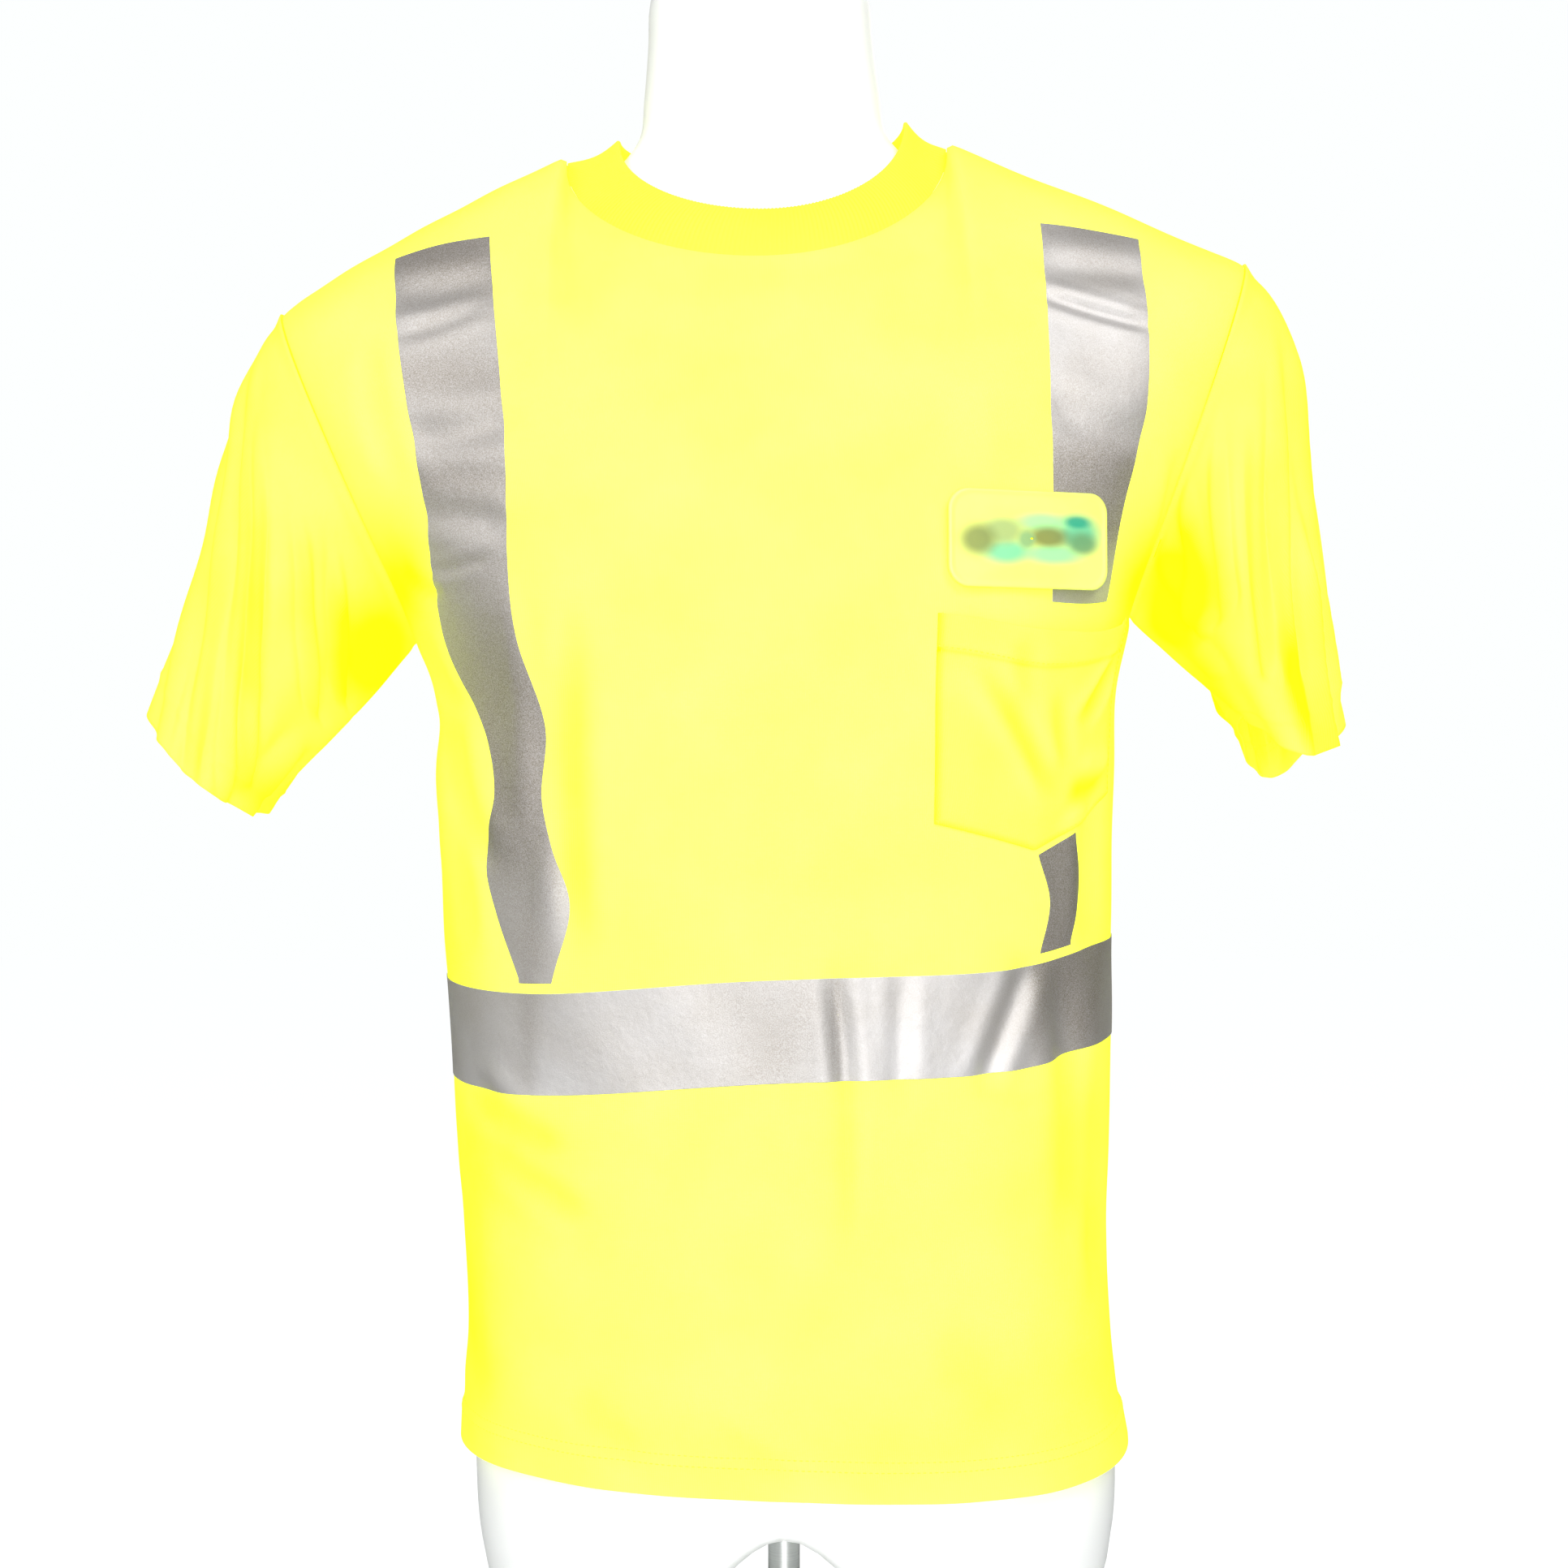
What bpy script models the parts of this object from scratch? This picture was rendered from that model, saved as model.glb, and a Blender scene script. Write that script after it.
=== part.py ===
"""A short-sleeved hi-vis t-shirt on a limbless dress form.

Metres, +Z up. The front of the shirt faces -Y, and the wearer's left is +X.
The origin is at the middle of the foot's underside, where the form stands.

Each cloth piece is a thin wall. Its outer face is a grid of points worked out
from the shirt's own sizes, and its inner face is the same grid moved inwards.
What lies on a panel (tapes, band, pocket) is a part of that panel's grid, moved
outwards, so it follows the panel facet by facet.
"""
import math

import bmesh
import bpy
import numpy as np

# ---------------------------------------------------------------- sizes, metres
CLOTH = 0.0012            # wall of the jersey
RIB_WALL = 0.0018         # the neck rib is doubled
TAPE_WALL = 0.0010
LAY_GAP = 0.00035         # air between a panel and what lies on it
SEAM_TRIM = 0.00022       # each panel stops this short of its seam line
SLEEVE_TRIM = 0.0012      # a sleeve or the rib starts this far out from its seam
RIB_CROWN = 0.0022        # how far the rib is rounded out between its two edges
TAPE_WIDTH = 0.0508       # two-inch reflective tape
HEM_FOLD = 0.020          # turned-up hem
SQUARENESS = 0.87         # below 1, the body's section is squarer than an ellipse
FRONT, BACK = -1, 1

# The body of the shirt, by height: centre, half width, depth to front and back.
CENTRE = [(0.348, 0.0065), (0.410, 0.0025), (0.470, 0.0), (0.610, -0.003), (0.700, -0.0040),
          (0.750, -0.0040), (0.783, -0.007)]
HALF_WIDTH = [(0.348, 0.1775), (0.410, 0.1710), (0.470, 0.171), (0.610, 0.177), (0.700, 0.1795),
              (0.750, 0.1810), (0.783, 0.1905)]
FRONT_DEPTH = [(0.348, 0.127), (0.470, 0.122), (0.610, 0.120), (0.750, 0.124), (0.783, 0.125)]
BACK_DEPTH = [(0.348, 0.126), (0.470, 0.118), (0.610, 0.116), (0.750, 0.122), (0.783, 0.124)]

# Heights of the lines that run round the body. The place along a line is from
# -1 at the wearer's right side seam, through 0 at the middle, to 1 at the left.
HEM_LINE = [(-1, 0.358), (-0.45, 0.3535), (0, 0.350), (0.3, 0.347), (0.6, 0.348), (1, 0.356)]
BAND_LINE = [(-1, 0.574), (-0.45, 0.5698), (0, 0.5785), (0.45, 0.583), (0.7, 0.5915), (1, 0.5955)]
POCKET_FOOT = [(-1, 0.680), (0.25, 0.6804), (0.48, 0.6668), (0.80, 0.697), (1, 0.700)]
ARMPIT_LINE = [(-1, 0.777), (-0.3, 0.783), (0.25, 0.784), (0.45, 0.778), (0.62, 0.778),
               (0.8, 0.785), (1, 0.790)]

# Shoulders and neck.
NECK_PLACE = 0.36                       # where the shoulder seam meets the neck rib
NECK_SIDE = {-1: (-0.116, 1.033), 1: (0.087, 1.0405)}
SHOULDER_TIP = {-1: (-0.265, 0.949), 1: (0.243, 0.9755)}
SHOULDER_RISE = {-1: 0.0055, 1: 0.0005}   # how far a shoulder seam bows up
NECK_LOW = {FRONT: 0.966, BACK: 1.018}
NECK_DEPTH = {FRONT: 0.086, BACK: 0.086}
ARMHOLE_DEPTH = {FRONT: 0.058, BACK: 0.060}
CHEST_ROLL = 45.0                       # degrees that the chest has turned in at the neck
RIB_TOP_CENTRE, RIB_TOP_HALF = -0.0118, 0.0775
RIB_TOP_SIDE = {-1: 1.0445, 1: 1.0545}
RIB_TOP_LOW = {FRONT: 0.992, BACK: 1.042}
RIB_TOP_DEPTH = {FRONT: 0.073, BACK: 0.071}

# Edges of the front tapes, as (height, x), where the cloth's folds leave them.
RIGHT_TAPE_OUTER = [(0.602, -0.133), (0.632, -0.144), (0.667, -0.150), (0.694, -0.1442),
                    (0.721, -0.148), (0.768, -0.170), (0.837, -0.180), (0.926, -0.1947),
                    (0.975, -0.2005)]
RIGHT_TAPE_INNER = [(0.600, -0.1154), (0.640, -0.107), (0.668, -0.115), (0.690, -0.120),
                    (0.7285, -0.1186), (0.771, -0.1325), (0.870, -0.139), (0.984, -0.151)]
LEFT_TAPE_INNER = [(0.615, 0.128), (0.642, 0.133), (0.665, 0.127), (0.788, 0.134),
                   (0.910, 0.1331), (0.990, 0.1308)]
LEFT_TAPE_OUTER = [(0.621, 0.1445), (0.652, 0.1506), (0.6736, 0.1466), (0.720, 0.152),
                   (0.786, 0.1632), (0.842, 0.1716), (0.891, 0.1823), (0.958, 0.1826),
                   (0.985, 0.1808)]
BACK_TAPES = [[(0.600, -0.140), (0.780, -0.158), (0.975, -0.195)],
              [(0.600, -0.098), (0.780, -0.112), (0.984, -0.147)],
              [(0.600, 0.096), (0.780, 0.105), (0.990, 0.130)],
              [(0.600, 0.140), (0.780, 0.152), (0.985, 0.178)]]
POCKET_PLACE = 0.25                     # the pocket's edge nearest the middle
POCKET_SHARE = 0.45                     # its other edge, between the tape and the side seam

# Largest folds of the panels: start (x, z), end (x, z), half width, depth.
FRONT_FOLDS = [((-0.100, 0.775), (-0.098, 0.640), 0.013, 0.0035),
               ((0.026, 0.560), (0.030, 0.460), 0.014, 0.0030),
               ((0.140, 0.545), (0.150, 0.430), 0.014, 0.0045),
               ((-0.150, 0.530), (-0.105, 0.500), 0.013, 0.0035)]
BACK_FOLDS = [((-0.060, 0.900), (-0.075, 0.660), 0.020, 0.0040),
              ((0.070, 0.880), (0.078, 0.650), 0.020, 0.0040),
              ((-0.040, 0.520), (-0.050, 0.380), 0.018, 0.0035),
              ((0.080, 0.540), (0.085, 0.400), 0.018, 0.0035)]

# Sleeve cuffs: the outer and the inner corner (x, z), half the depth front to back, how far the
# cuff hangs below the line between its corners, in front and behind, and how far its front is
# swung in towards the body while its back swings out.
CUFF = {-1: ((-0.3345, 0.7425), (-0.280, 0.684), 0.075, 0.004, 0.006, 0.0),
        1: ((0.2970, 0.738), (0.2453, 0.735), 0.0820, 0.022, 0.033, 0.005)}
# How far the top of the sleeve rounds out at shares of its length, in metres, and which way.
CAP_RISE = {-1: [(0, 0), (0.10, 0.0055), (0.21, 0.0080), (0.36, 0.0035), (0.52, 0), (1, 0)],
            1: [(0, 0), (0.10, 0.0125), (0.22, 0.0175), (0.40, 0.0120), (0.65, 0.0070),
                (0.85, 0.0025), (1, 0)]}
CAP_OUT, CAP_UP = 0.94, 0.26
SLEEVE_ROWS = 8
# Sleeve folds: place round the sleeve (0 outer, 0.25 front, 0.5 under), width, depth.
SLEEVE_FOLDS = [(0.23, 0.030, 0.004), (0.37, 0.040, 0.007), (0.63, 0.040, 0.006),
                (0.77, 0.035, 0.004), (0.88, 0.030, 0.003)]

BADGE_PLACE = (0.1206, 0.8214)          # x and height of its middle
BADGE_SIZE = (0.088, 0.048)
BADGE_CORNER, BADGE_WALL, BADGE_BEND, BADGE_LIFT = 0.010, 0.0014, 0.28, 0.0043

# The dress form by height: half width, depth to front and to back, and the power of the
# section (1 is an ellipse, below 1 is squarer, above 1 is more pointed at the shoulders).
FORM_RINGS = [(0.263, 0.110, 0.070, 0.075, 0.92), (0.264, 0.146, 0.092, 0.097, 0.92),
              (0.275, 0.160, 0.103, 0.108, 0.92), (0.300, 0.167, 0.109, 0.112, 0.92),
              (0.350, 0.170, 0.116, 0.116, 0.92), (0.430, 0.164, 0.112, 0.109, 0.92),
              (0.520, 0.156, 0.106, 0.102, 0.92), (0.600, 0.154, 0.104, 0.100, 0.92),
              (0.690, 0.161, 0.109, 0.107, 0.92), (0.770, 0.173, 0.115, 0.113, 0.92),
              (0.840, 0.184, 0.113, 0.112, 0.95), (0.900, 0.192, 0.102, 0.107, 1.0),
              (0.935, 0.194, 0.089, 0.098, 1.05), (0.962, 0.189, 0.077, 0.089, 1.12),
              (0.982, 0.179, 0.068, 0.081, 1.2), (0.999, 0.161, 0.057, 0.073, 1.35),
              (1.013, 0.130, 0.050, 0.066, 1.5), (1.024, 0.100, 0.046, 0.060, 1.55),
              (1.033, 0.077, 0.046, 0.056, 1.35), (1.046, 0.066, 0.048, 0.053, 1.1),
              (1.066, 0.063, 0.051, 0.054, 1.0), (1.095, 0.060, 0.052, 0.053, 1.0),
              (1.120, 0.058, 0.052, 0.052, 1.0), (1.131, 0.054, 0.048, 0.048, 1.0)]
FORM_LEAN = 0.025                       # the form leans to the wearer's right as it rises
FORM_CENTRE = 0.006                     # its middle at the hem
HEM_HEIGHT, FORM_TOP = 0.350, 1.135
FORM_SIDES = 32
UNDERSIDE = 0.45                        # size of the underside's inner ring against its edge
ARCH_RISE, ARCH_HALF_WIDTH, ARCH_FADE = 0.058, 0.048, 0.090
POLE_RADIUS, POLE_TOP = 0.0085, 0.3120
BASE_RADIUS, BASE_THICK, BASE_EDGE = 0.165, 0.008, 0.002

YELLOW, RIB_YELLOW, PALE = (0.83, 1.0, 0.05), (0.78, 0.98, 0.02), (0.85, 0.95, 0.45)
SILVER, WHITE, STEEL = (0.55, 0.53, 0.51), (0.9, 0.9, 0.9), (0.6, 0.61, 0.6)


# ---------------------------------------------------------------- curves and surfaces
def curve(points, at):
    """Smooth curve through (place, value) points: a cubic between neighbours, flat outside."""
    place, value = np.array(points, dtype=float).T
    slope = np.gradient(value, place)
    at = np.clip(at, place[0], place[-1])
    i = np.clip(np.searchsorted(place, at) - 1, 0, len(place) - 2)
    step = place[i + 1] - place[i]
    t = (at - place[i]) / step
    return ((1 + 2 * t) * (1 - t) ** 2 * value[i] + t * (1 - t) ** 2 * step * slope[i]
            + t * t * (3 - 2 * t) * value[i + 1] + t * t * (t - 1) * step * slope[i + 1])


def line_height(line, place, side, sharp=False):
    """Height of a line round the body: its own shape in front, straight across the back."""
    if side == BACK:
        return line[0][1] + (line[-1][1] - line[0][1]) * (place + 1) / 2
    if sharp:
        return np.interp(place, *np.array(line).T)
    return curve(line, place)


def body_points(place, height, side):
    """Below the armpits: a squared ellipse whose sizes follow the height."""
    angle = place * math.pi / 2
    depth = curve(FRONT_DEPTH if side == FRONT else BACK_DEPTH, height)
    across = np.sign(place) * np.abs(np.sin(angle)) ** SQUARENESS
    x = curve(CENTRE, height) + curve(HALF_WIDTH, height) * across
    y = side * depth * np.abs(np.cos(angle)) ** SQUARENESS
    return np.stack([x, y, height + 0 * place], axis=-1)


def top_points(place, side):
    """The top edge of a panel: shoulder seam, neckline, shoulder seam."""
    right = place < 0
    neck_x, neck_z = (np.where(right, NECK_SIDE[-1][k], NECK_SIDE[1][k]) for k in (0, 1))
    tip_x, tip_z = (np.where(right, SHOULDER_TIP[-1][k], SHOULDER_TIP[1][k]) for k in (0, 1))
    rise = np.where(right, SHOULDER_RISE[-1], SHOULDER_RISE[1])
    along = np.clip((np.abs(place) - NECK_PLACE) / (1 - NECK_PLACE), 0, 1)
    turn = np.clip(np.abs(place) / NECK_PLACE, 0, 1) * math.pi / 2
    middle = (NECK_SIDE[-1][0] + NECK_SIDE[1][0]) / 2
    on_neck = np.abs(place) < NECK_PLACE
    x = np.where(on_neck, middle + (neck_x - middle) * np.sin(turn), neck_x + (tip_x - neck_x) * along)
    z = np.where(on_neck, NECK_LOW[side] + (neck_z - NECK_LOW[side]) * (1 - np.cos(turn)),
                 neck_z + (tip_z - neck_z) * along + rise * np.sin(math.pi * along))
    y = np.where(on_neck, side * NECK_DEPTH[side] * np.cos(turn), 0.0)
    return np.stack([x, y, z], axis=-1)


def chest_points(place, rise, side):
    """Above the armpits: each column is an arc of an ellipse from the armpit line to the top.

    The edge is let out towards the front or the back to leave room for the armhole.
    """
    low = body_points(place, line_height(ARMPIT_LINE, place, side), side)
    top = top_points(place, side)
    roll = np.radians(np.clip(CHEST_ROLL + (90 - CHEST_ROLL) * (place / NECK_PLACE) ** 2, 0, 90))
    up = (np.sin(roll * rise) / np.sin(roll))[..., None]
    back = (1 - np.cos(roll * rise)) / (1 - np.cos(roll))
    points = low + (top - low) * up
    points[..., 1] = low[..., 1] + (top[..., 1] - low[..., 1]) * back
    bulge = ARMHOLE_DEPTH[side] * np.sin(math.pi * np.clip(rise, 0, 1)) ** 0.8
    points[..., 1] += side * bulge * np.abs(np.sin(place * math.pi / 2)) ** 4
    return points


def row_points(row, place, side):
    """One row of a panel: ('low', parts) or ('high', rise above the armpit line).

    Each part is (line, shift, share): a low row's height adds up its lines' by their shares.
    """
    if row[0] == "high":
        return chest_points(place, row[1], side)
    height = sum(share * (line_height(line, place, side, line is POCKET_FOOT) + shift)
                 for line, shift, share in row[1])
    return body_points(place, height, side)


def between(low, high, parts):
    """Rows that divide the stretch from one line to another, without its last line."""
    return [("low", ((*low, 1 - k / parts), (*high, k / parts))) for k in range(parts)]


HALF_TAPE = TAPE_WIDTH / 2
LINES = [((HEM_LINE, 0), 1), ((HEM_LINE, HEM_FOLD), 4), ((BAND_LINE, -HALF_TAPE), 2),
         ((BAND_LINE, HALF_TAPE), 1), ((BAND_LINE, HALF_TAPE + 0.005), 2), ((POCKET_FOOT, -0.0035), 1),
         ((POCKET_FOOT, 0), 3), ((ARMPIT_LINE, 0), 0)]
LOW_ROWS = [row for (low, parts), (high, _) in zip(LINES, LINES[1:]) for row in between(low, high, parts)]
RISES = [0.0, 0.03, 0.16, 0.29, 0.42, 0.54, 0.66, 0.78, 0.90, 1.0]
ROWS = LOW_ROWS + [("high", rise) for rise in RISES]
ROW = {"band_low": 5, "band_high": 7, "tape_foot": 8, "under_pocket": 10, "pocket_foot": 11,
       "mouth": 14, "tape_end": 15, "tape_top": 20}


def crossing(row, side, edge):
    """Place along a row where it meets a tape edge, given as (height, x) points."""
    place = np.linspace(-1, 1, 801)
    points = row_points(row, place, side)
    return float(np.interp(0.0, points[:, 0] - curve(edge, points[:, 2]), place))


def front_columns(row):
    """Places of the front's columns in a row: they follow the tapes and the pocket."""
    right_outer, right_inner = (crossing(row, FRONT, e) for e in (RIGHT_TAPE_OUTER, RIGHT_TAPE_INNER))
    left_inner, left_outer = (crossing(row, FRONT, e) for e in (LEFT_TAPE_INNER, LEFT_TAPE_OUTER))
    pocket_end = left_outer + POCKET_SHARE * (1 - left_outer)
    return [-1, right_outer, right_inner, -NECK_PLACE, POCKET_PLACE, NECK_PLACE,
            left_inner, left_outer, pocket_end, 1]


FRONT_PARTS = (3, 2, 1, 6, 1, 1, 2, 1, 2)
FRONT_COLUMN = dict(zip(("right_outer", "right_inner", "neck_right", "pocket", "neck_left", "left_inner",
                         "left_outer", "pocket_end"), np.cumsum(FRONT_PARTS)))


def back_columns(row):
    """Places of the back's columns in a row."""
    edges = [crossing(row, BACK, edge) for edge in BACK_TAPES]
    return [-1, edges[0], edges[1], -NECK_PLACE, NECK_PLACE, edges[2], edges[3], 1]


BACK_PARTS = (3, 2, 1, 6, 1, 2, 3)
BACK_COLUMN = dict(zip(("right_outer", "right_inner", "neck_right", "neck_left", "left_inner",
                        "left_outer"), np.cumsum(BACK_PARTS)))


def divided(places, parts):
    """Places with each gap divided into its number of parts."""
    runs = [np.linspace(a, b, n, endpoint=False) for a, b, n in zip(places, places[1:], parts)]
    return np.concatenate(runs + [[places[-1]]])


def normals_of(points):
    """Unit normals of a grid, from its slopes along both directions."""
    across = np.gradient(points, axis=1, edge_order=2)
    along = np.gradient(points, axis=0, edge_order=2)
    normal = np.cross(across, along)
    return normal / np.linalg.norm(normal, axis=-1, keepdims=True)


def fold_depth(x, z, folds):
    """How far the cloth is drawn in: soft troughs along straight lines that fade at both ends."""
    depth = np.zeros_like(x)
    for (x0, z0), (x1, z1), half_width, deep in folds:
        length = math.hypot(x1 - x0, z1 - z0)
        dx, dz = (x1 - x0) / length, (z1 - z0) / length
        along = ((x - x0) * dx + (z - z0) * dz) / length
        off = (x - x0) * dz - (z - z0) * dx
        fade = np.clip(np.minimum(along, 1 - along) * 4 + 0.5, 0, 1)
        depth += deep * np.exp(-(off / half_width) ** 2) * fade
    return depth


def panel_grid(side):
    """Grid of a panel's outer face, rows from the hem up and columns from -X to +X."""
    columns, parts, folds = ((front_columns, FRONT_PARTS, FRONT_FOLDS) if side == FRONT
                             else (back_columns, BACK_PARTS, BACK_FOLDS))
    places = np.array([divided(columns(row), parts) for row in ROWS])
    points = np.array([row_points(row, place, side) for row, place in zip(ROWS, places)])
    normals = normals_of(points) * -side
    depth = fold_depth(points[..., 0], points[..., 2], folds) * (1 - places ** 4)
    return points - normals * depth[..., None]


def stepped_in(points, toward, distance):
    """Points moved a set distance toward their neighbours."""
    step = toward - points
    return points + step / np.linalg.norm(step, axis=-1, keepdims=True) * distance


def trimmed(points, distance):
    """A panel's grid with its sides and its top edge drawn in from the seam lines."""
    points = points.copy()
    points[:, 0] = stepped_in(points[:, 0], points[:, 1], distance)
    points[:, -1] = stepped_in(points[:, -1], points[:, -2], distance)
    points[-1] = stepped_in(points[-1], points[-2], distance)
    return points


def sleeve_grid(hand, front, back):
    """Grid of a sleeve's outer face: rings from the armhole to the cuff.

    The first ring is the armhole edge of the two panels, from the shoulder tip down the
    front and up the back. The last is the cuff, an ellipse across the sleeve. Between
    them the rings are blended, the top is rounded out and the folds are drawn in.
    """
    first = ROW["mouth"]
    edge = 0 if hand < 0 else -1
    armhole = np.concatenate([front[first:, edge][::-1], back[first + 1:-1, edge]])
    count = len(armhole)
    turn = np.arange(count) / count
    (outer_x, outer_z), (inner_x, inner_z), half_depth, front_drop, back_drop, skew = CUFF[hand]
    middle = np.array([(outer_x + inner_x) / 2, 0, (outer_z + inner_z) / 2])
    arm = np.array([(outer_x - inner_x) / 2, 0, (outer_z - inner_z) / 2])
    cosine, sine = np.cos(2 * math.pi * turn)[:, None], np.sin(2 * math.pi * turn)[:, None]
    drop = np.where(sine > 0, front_drop, back_drop) * sine ** 2
    cuff = middle + arm * cosine + np.array([-skew, -half_depth, 0]) * sine
    cuff -= np.array([0, 0, 1]) * drop
    down = np.linspace(0, 1, SLEEVE_ROWS)[:, None, None]
    points = armhole + (cuff - armhole) * down
    swell = curve(CAP_RISE[hand], down) * np.clip(cosine, 0, 1) ** 1.5
    points = points + swell * np.array([hand * CAP_OUT, 0, CAP_UP])
    closed = np.concatenate([points, points[:, :1]], axis=1)
    normals = normals_of(closed)[:, :-1] * -hand
    fade = np.sin(math.pi * np.clip(down[..., 0] * 0.62 + 0.02, 0, 1))
    depth = sum(deep * np.exp(-((turn - spot) / width) ** 2) for spot, width, deep in SLEEVE_FOLDS)
    points = points - normals * (depth * fade)[..., None]
    points[0] = stepped_in(armhole, points[1], SLEEVE_TRIM)
    return points


def rib_grid(front, back):
    """Grid of the neck rib: rings from the neck seam up to the rib's free edge."""
    top = -1
    front_edge = front[top, FRONT_COLUMN["neck_right"]:FRONT_COLUMN["neck_left"] + 1]
    back_edge = back[top, BACK_COLUMN["neck_right"]:BACK_COLUMN["neck_left"] + 1]
    seam = np.concatenate([front_edge, back_edge[::-1][1:-1]])
    turns = np.concatenate([np.linspace(-1, 1, len(front_edge)), np.linspace(1, -1, len(back_edge))[1:-1]])
    is_front = np.arange(len(seam)) < len(front_edge)
    middle = (NECK_SIDE[-1][0] + NECK_SIDE[1][0]) / 2
    half = np.where(seam[:, 0] < middle, middle - NECK_SIDE[-1][0], NECK_SIDE[1][0] - middle)
    sine = np.clip((seam[:, 0] - middle) / half, -1, 1)
    cosine = np.sqrt(1 - sine ** 2)
    side_z = np.where(turns < 0, RIB_TOP_SIDE[-1], RIB_TOP_SIDE[1])
    low_z = np.where(is_front, RIB_TOP_LOW[FRONT], RIB_TOP_LOW[BACK])
    depth = np.where(is_front, -RIB_TOP_DEPTH[FRONT], RIB_TOP_DEPTH[BACK])
    free = np.stack([RIB_TOP_CENTRE + RIB_TOP_HALF * sine, depth * cosine,
                     low_z + (side_z - low_z) * (1 - cosine)], axis=-1)
    up = np.linspace(0, 1, 4)[:, None, None]
    points = seam + (free - seam) * up
    outward = seam - np.array([middle, 0, 0])
    outward[:, 2] = 0
    outward /= np.linalg.norm(outward, axis=-1, keepdims=True)
    crown = np.sin(math.pi * up) * RIB_CROWN
    points = points + crown * (outward * 0.5 + np.array([0, 0, 0.8]))
    points[0] = stepped_in(points[0], points[1], SLEEVE_TRIM)
    return points


# ---------------------------------------------------------------- solids
def material(name, colour, roughness, metallic=0.0):
    """A plain Principled material."""
    made = bpy.data.materials.new(name)
    made.use_nodes = True
    shader = made.node_tree.nodes["Principled BSDF"]
    shader.inputs["Base Color"].default_value = (*colour, 1.0)
    shader.inputs["Roughness"].default_value = roughness
    shader.inputs["Metallic"].default_value = metallic
    return made


def add_mesh(name, points, faces, look):
    """A new object from points and faces, smooth but for its sharp edges."""
    mesh = bpy.data.meshes.new(name)
    mesh.from_pydata([tuple(p) for p in points], [], faces)
    mesh.validate()
    work = bmesh.new()
    work.from_mesh(mesh)
    bmesh.ops.recalc_face_normals(work, faces=work.faces)
    bmesh.ops.triangulate(work, faces=work.faces)
    work.to_mesh(mesh)
    work.free()
    mesh.shade_smooth()
    mesh.set_sharp_from_angle(angle=math.radians(50))
    mesh.materials.append(look)
    made = bpy.data.objects.new(name, mesh)
    bpy.context.scene.collection.objects.link(made)
    return made


def wall(name, outer, normals, thickness, look, ring=False):
    """A closed wall: the grid of its outer face, and the same grid moved inwards behind it."""
    rows, columns = outer.shape[:2]
    inner = outer - normals * thickness
    number = np.arange(rows * columns).reshape(rows, columns)
    if ring:
        number = np.concatenate([number, number[:, :1]], axis=1)
    behind = number + rows * columns

    def quads(grid):
        return np.stack([grid[:-1, :-1], grid[:-1, 1:], grid[1:, 1:], grid[1:, :-1]], axis=-1).reshape(-1, 4)

    def rim(edge, far):
        return np.stack([edge[:-1], edge[1:], far[1:], far[:-1]], axis=-1)

    faces = [quads(number), quads(behind), rim(number[0], behind[0]), rim(number[-1], behind[-1])]
    if not ring:
        faces += [rim(number[:, 0], behind[:, 0]), rim(number[:, -1], behind[:, -1])]
    everything = np.concatenate([outer.reshape(-1, 3), inner.reshape(-1, 3)])
    return add_mesh(name, everything, np.concatenate(faces).tolist(), look)


def ring_normals(points, outward):
    """Normals of a grid whose rows close on themselves."""
    wrapped = np.concatenate([points[:, -1:], points, points[:, :1]], axis=1)
    return normals_of(wrapped)[:, 1:-1] * outward


def lay(name, points, normals, rows, columns, look, thickness=TAPE_WALL):
    """A piece that lies on a panel: a part of the panel's grid, moved out."""
    cut = (slice(rows[0], rows[1] + 1), slice(columns[0], columns[1] + 1))
    return wall(name, points[cut] + normals[cut] * (LAY_GAP + thickness), normals[cut], thickness, look)


def make_badge(look):
    """A thin bent plate with round corners, just clear of the chest and its tape.

    It is a grid: three rows up, and columns across that stand closer at the round corners.
    """
    rises = np.linspace(0, 1, 99)
    heights = chest_points(np.full(99, 0.45), rises, FRONT)[:, 2]
    row = ("high", float(np.interp(BADGE_PLACE[1], heights, rises)))
    place = crossing(row, FRONT, [(0.0, BADGE_PLACE[0]), (2.0, BADGE_PLACE[0])])
    near = np.array([[chest_points(np.array(place + i), row[1] + j, FRONT) for i in (-0.01, 0, 0.01)]
                     for j in (-0.01, 0, 0.01)])
    normal = normals_of(near)[1, 1]
    upward = np.array([0, 0, 1.0]) - normal * normal[2]
    upward /= np.linalg.norm(upward)
    sideways = np.cross(upward, normal)
    half_w, half_h = BADGE_SIZE[0] / 2, BADGE_SIZE[1] / 2
    ends = half_w - BADGE_CORNER + BADGE_CORNER * np.cos(np.radians(np.arange(0, 91, 18)))
    stations = np.sort(np.concatenate([-ends, np.linspace(-half_w, half_w, 9)[1:-1], ends]))
    inset = np.clip(np.abs(stations) - (half_w - BADGE_CORNER), 0, BADGE_CORNER)
    reach = half_h - BADGE_CORNER + np.sqrt(BADGE_CORNER ** 2 - inset ** 2)
    across = np.linspace(-1, 1, 3)[:, None] * reach
    bend = stations ** 2 / (2 * BADGE_BEND)
    grid = (near[1, 1] + normal * BADGE_LIFT + stations[:, None] * sideways
            + across[..., None] * upward - bend[:, None] * normal)
    wall("badge", grid + normal * BADGE_WALL, np.broadcast_to(normal, grid.shape), BADGE_WALL, look)


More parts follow.
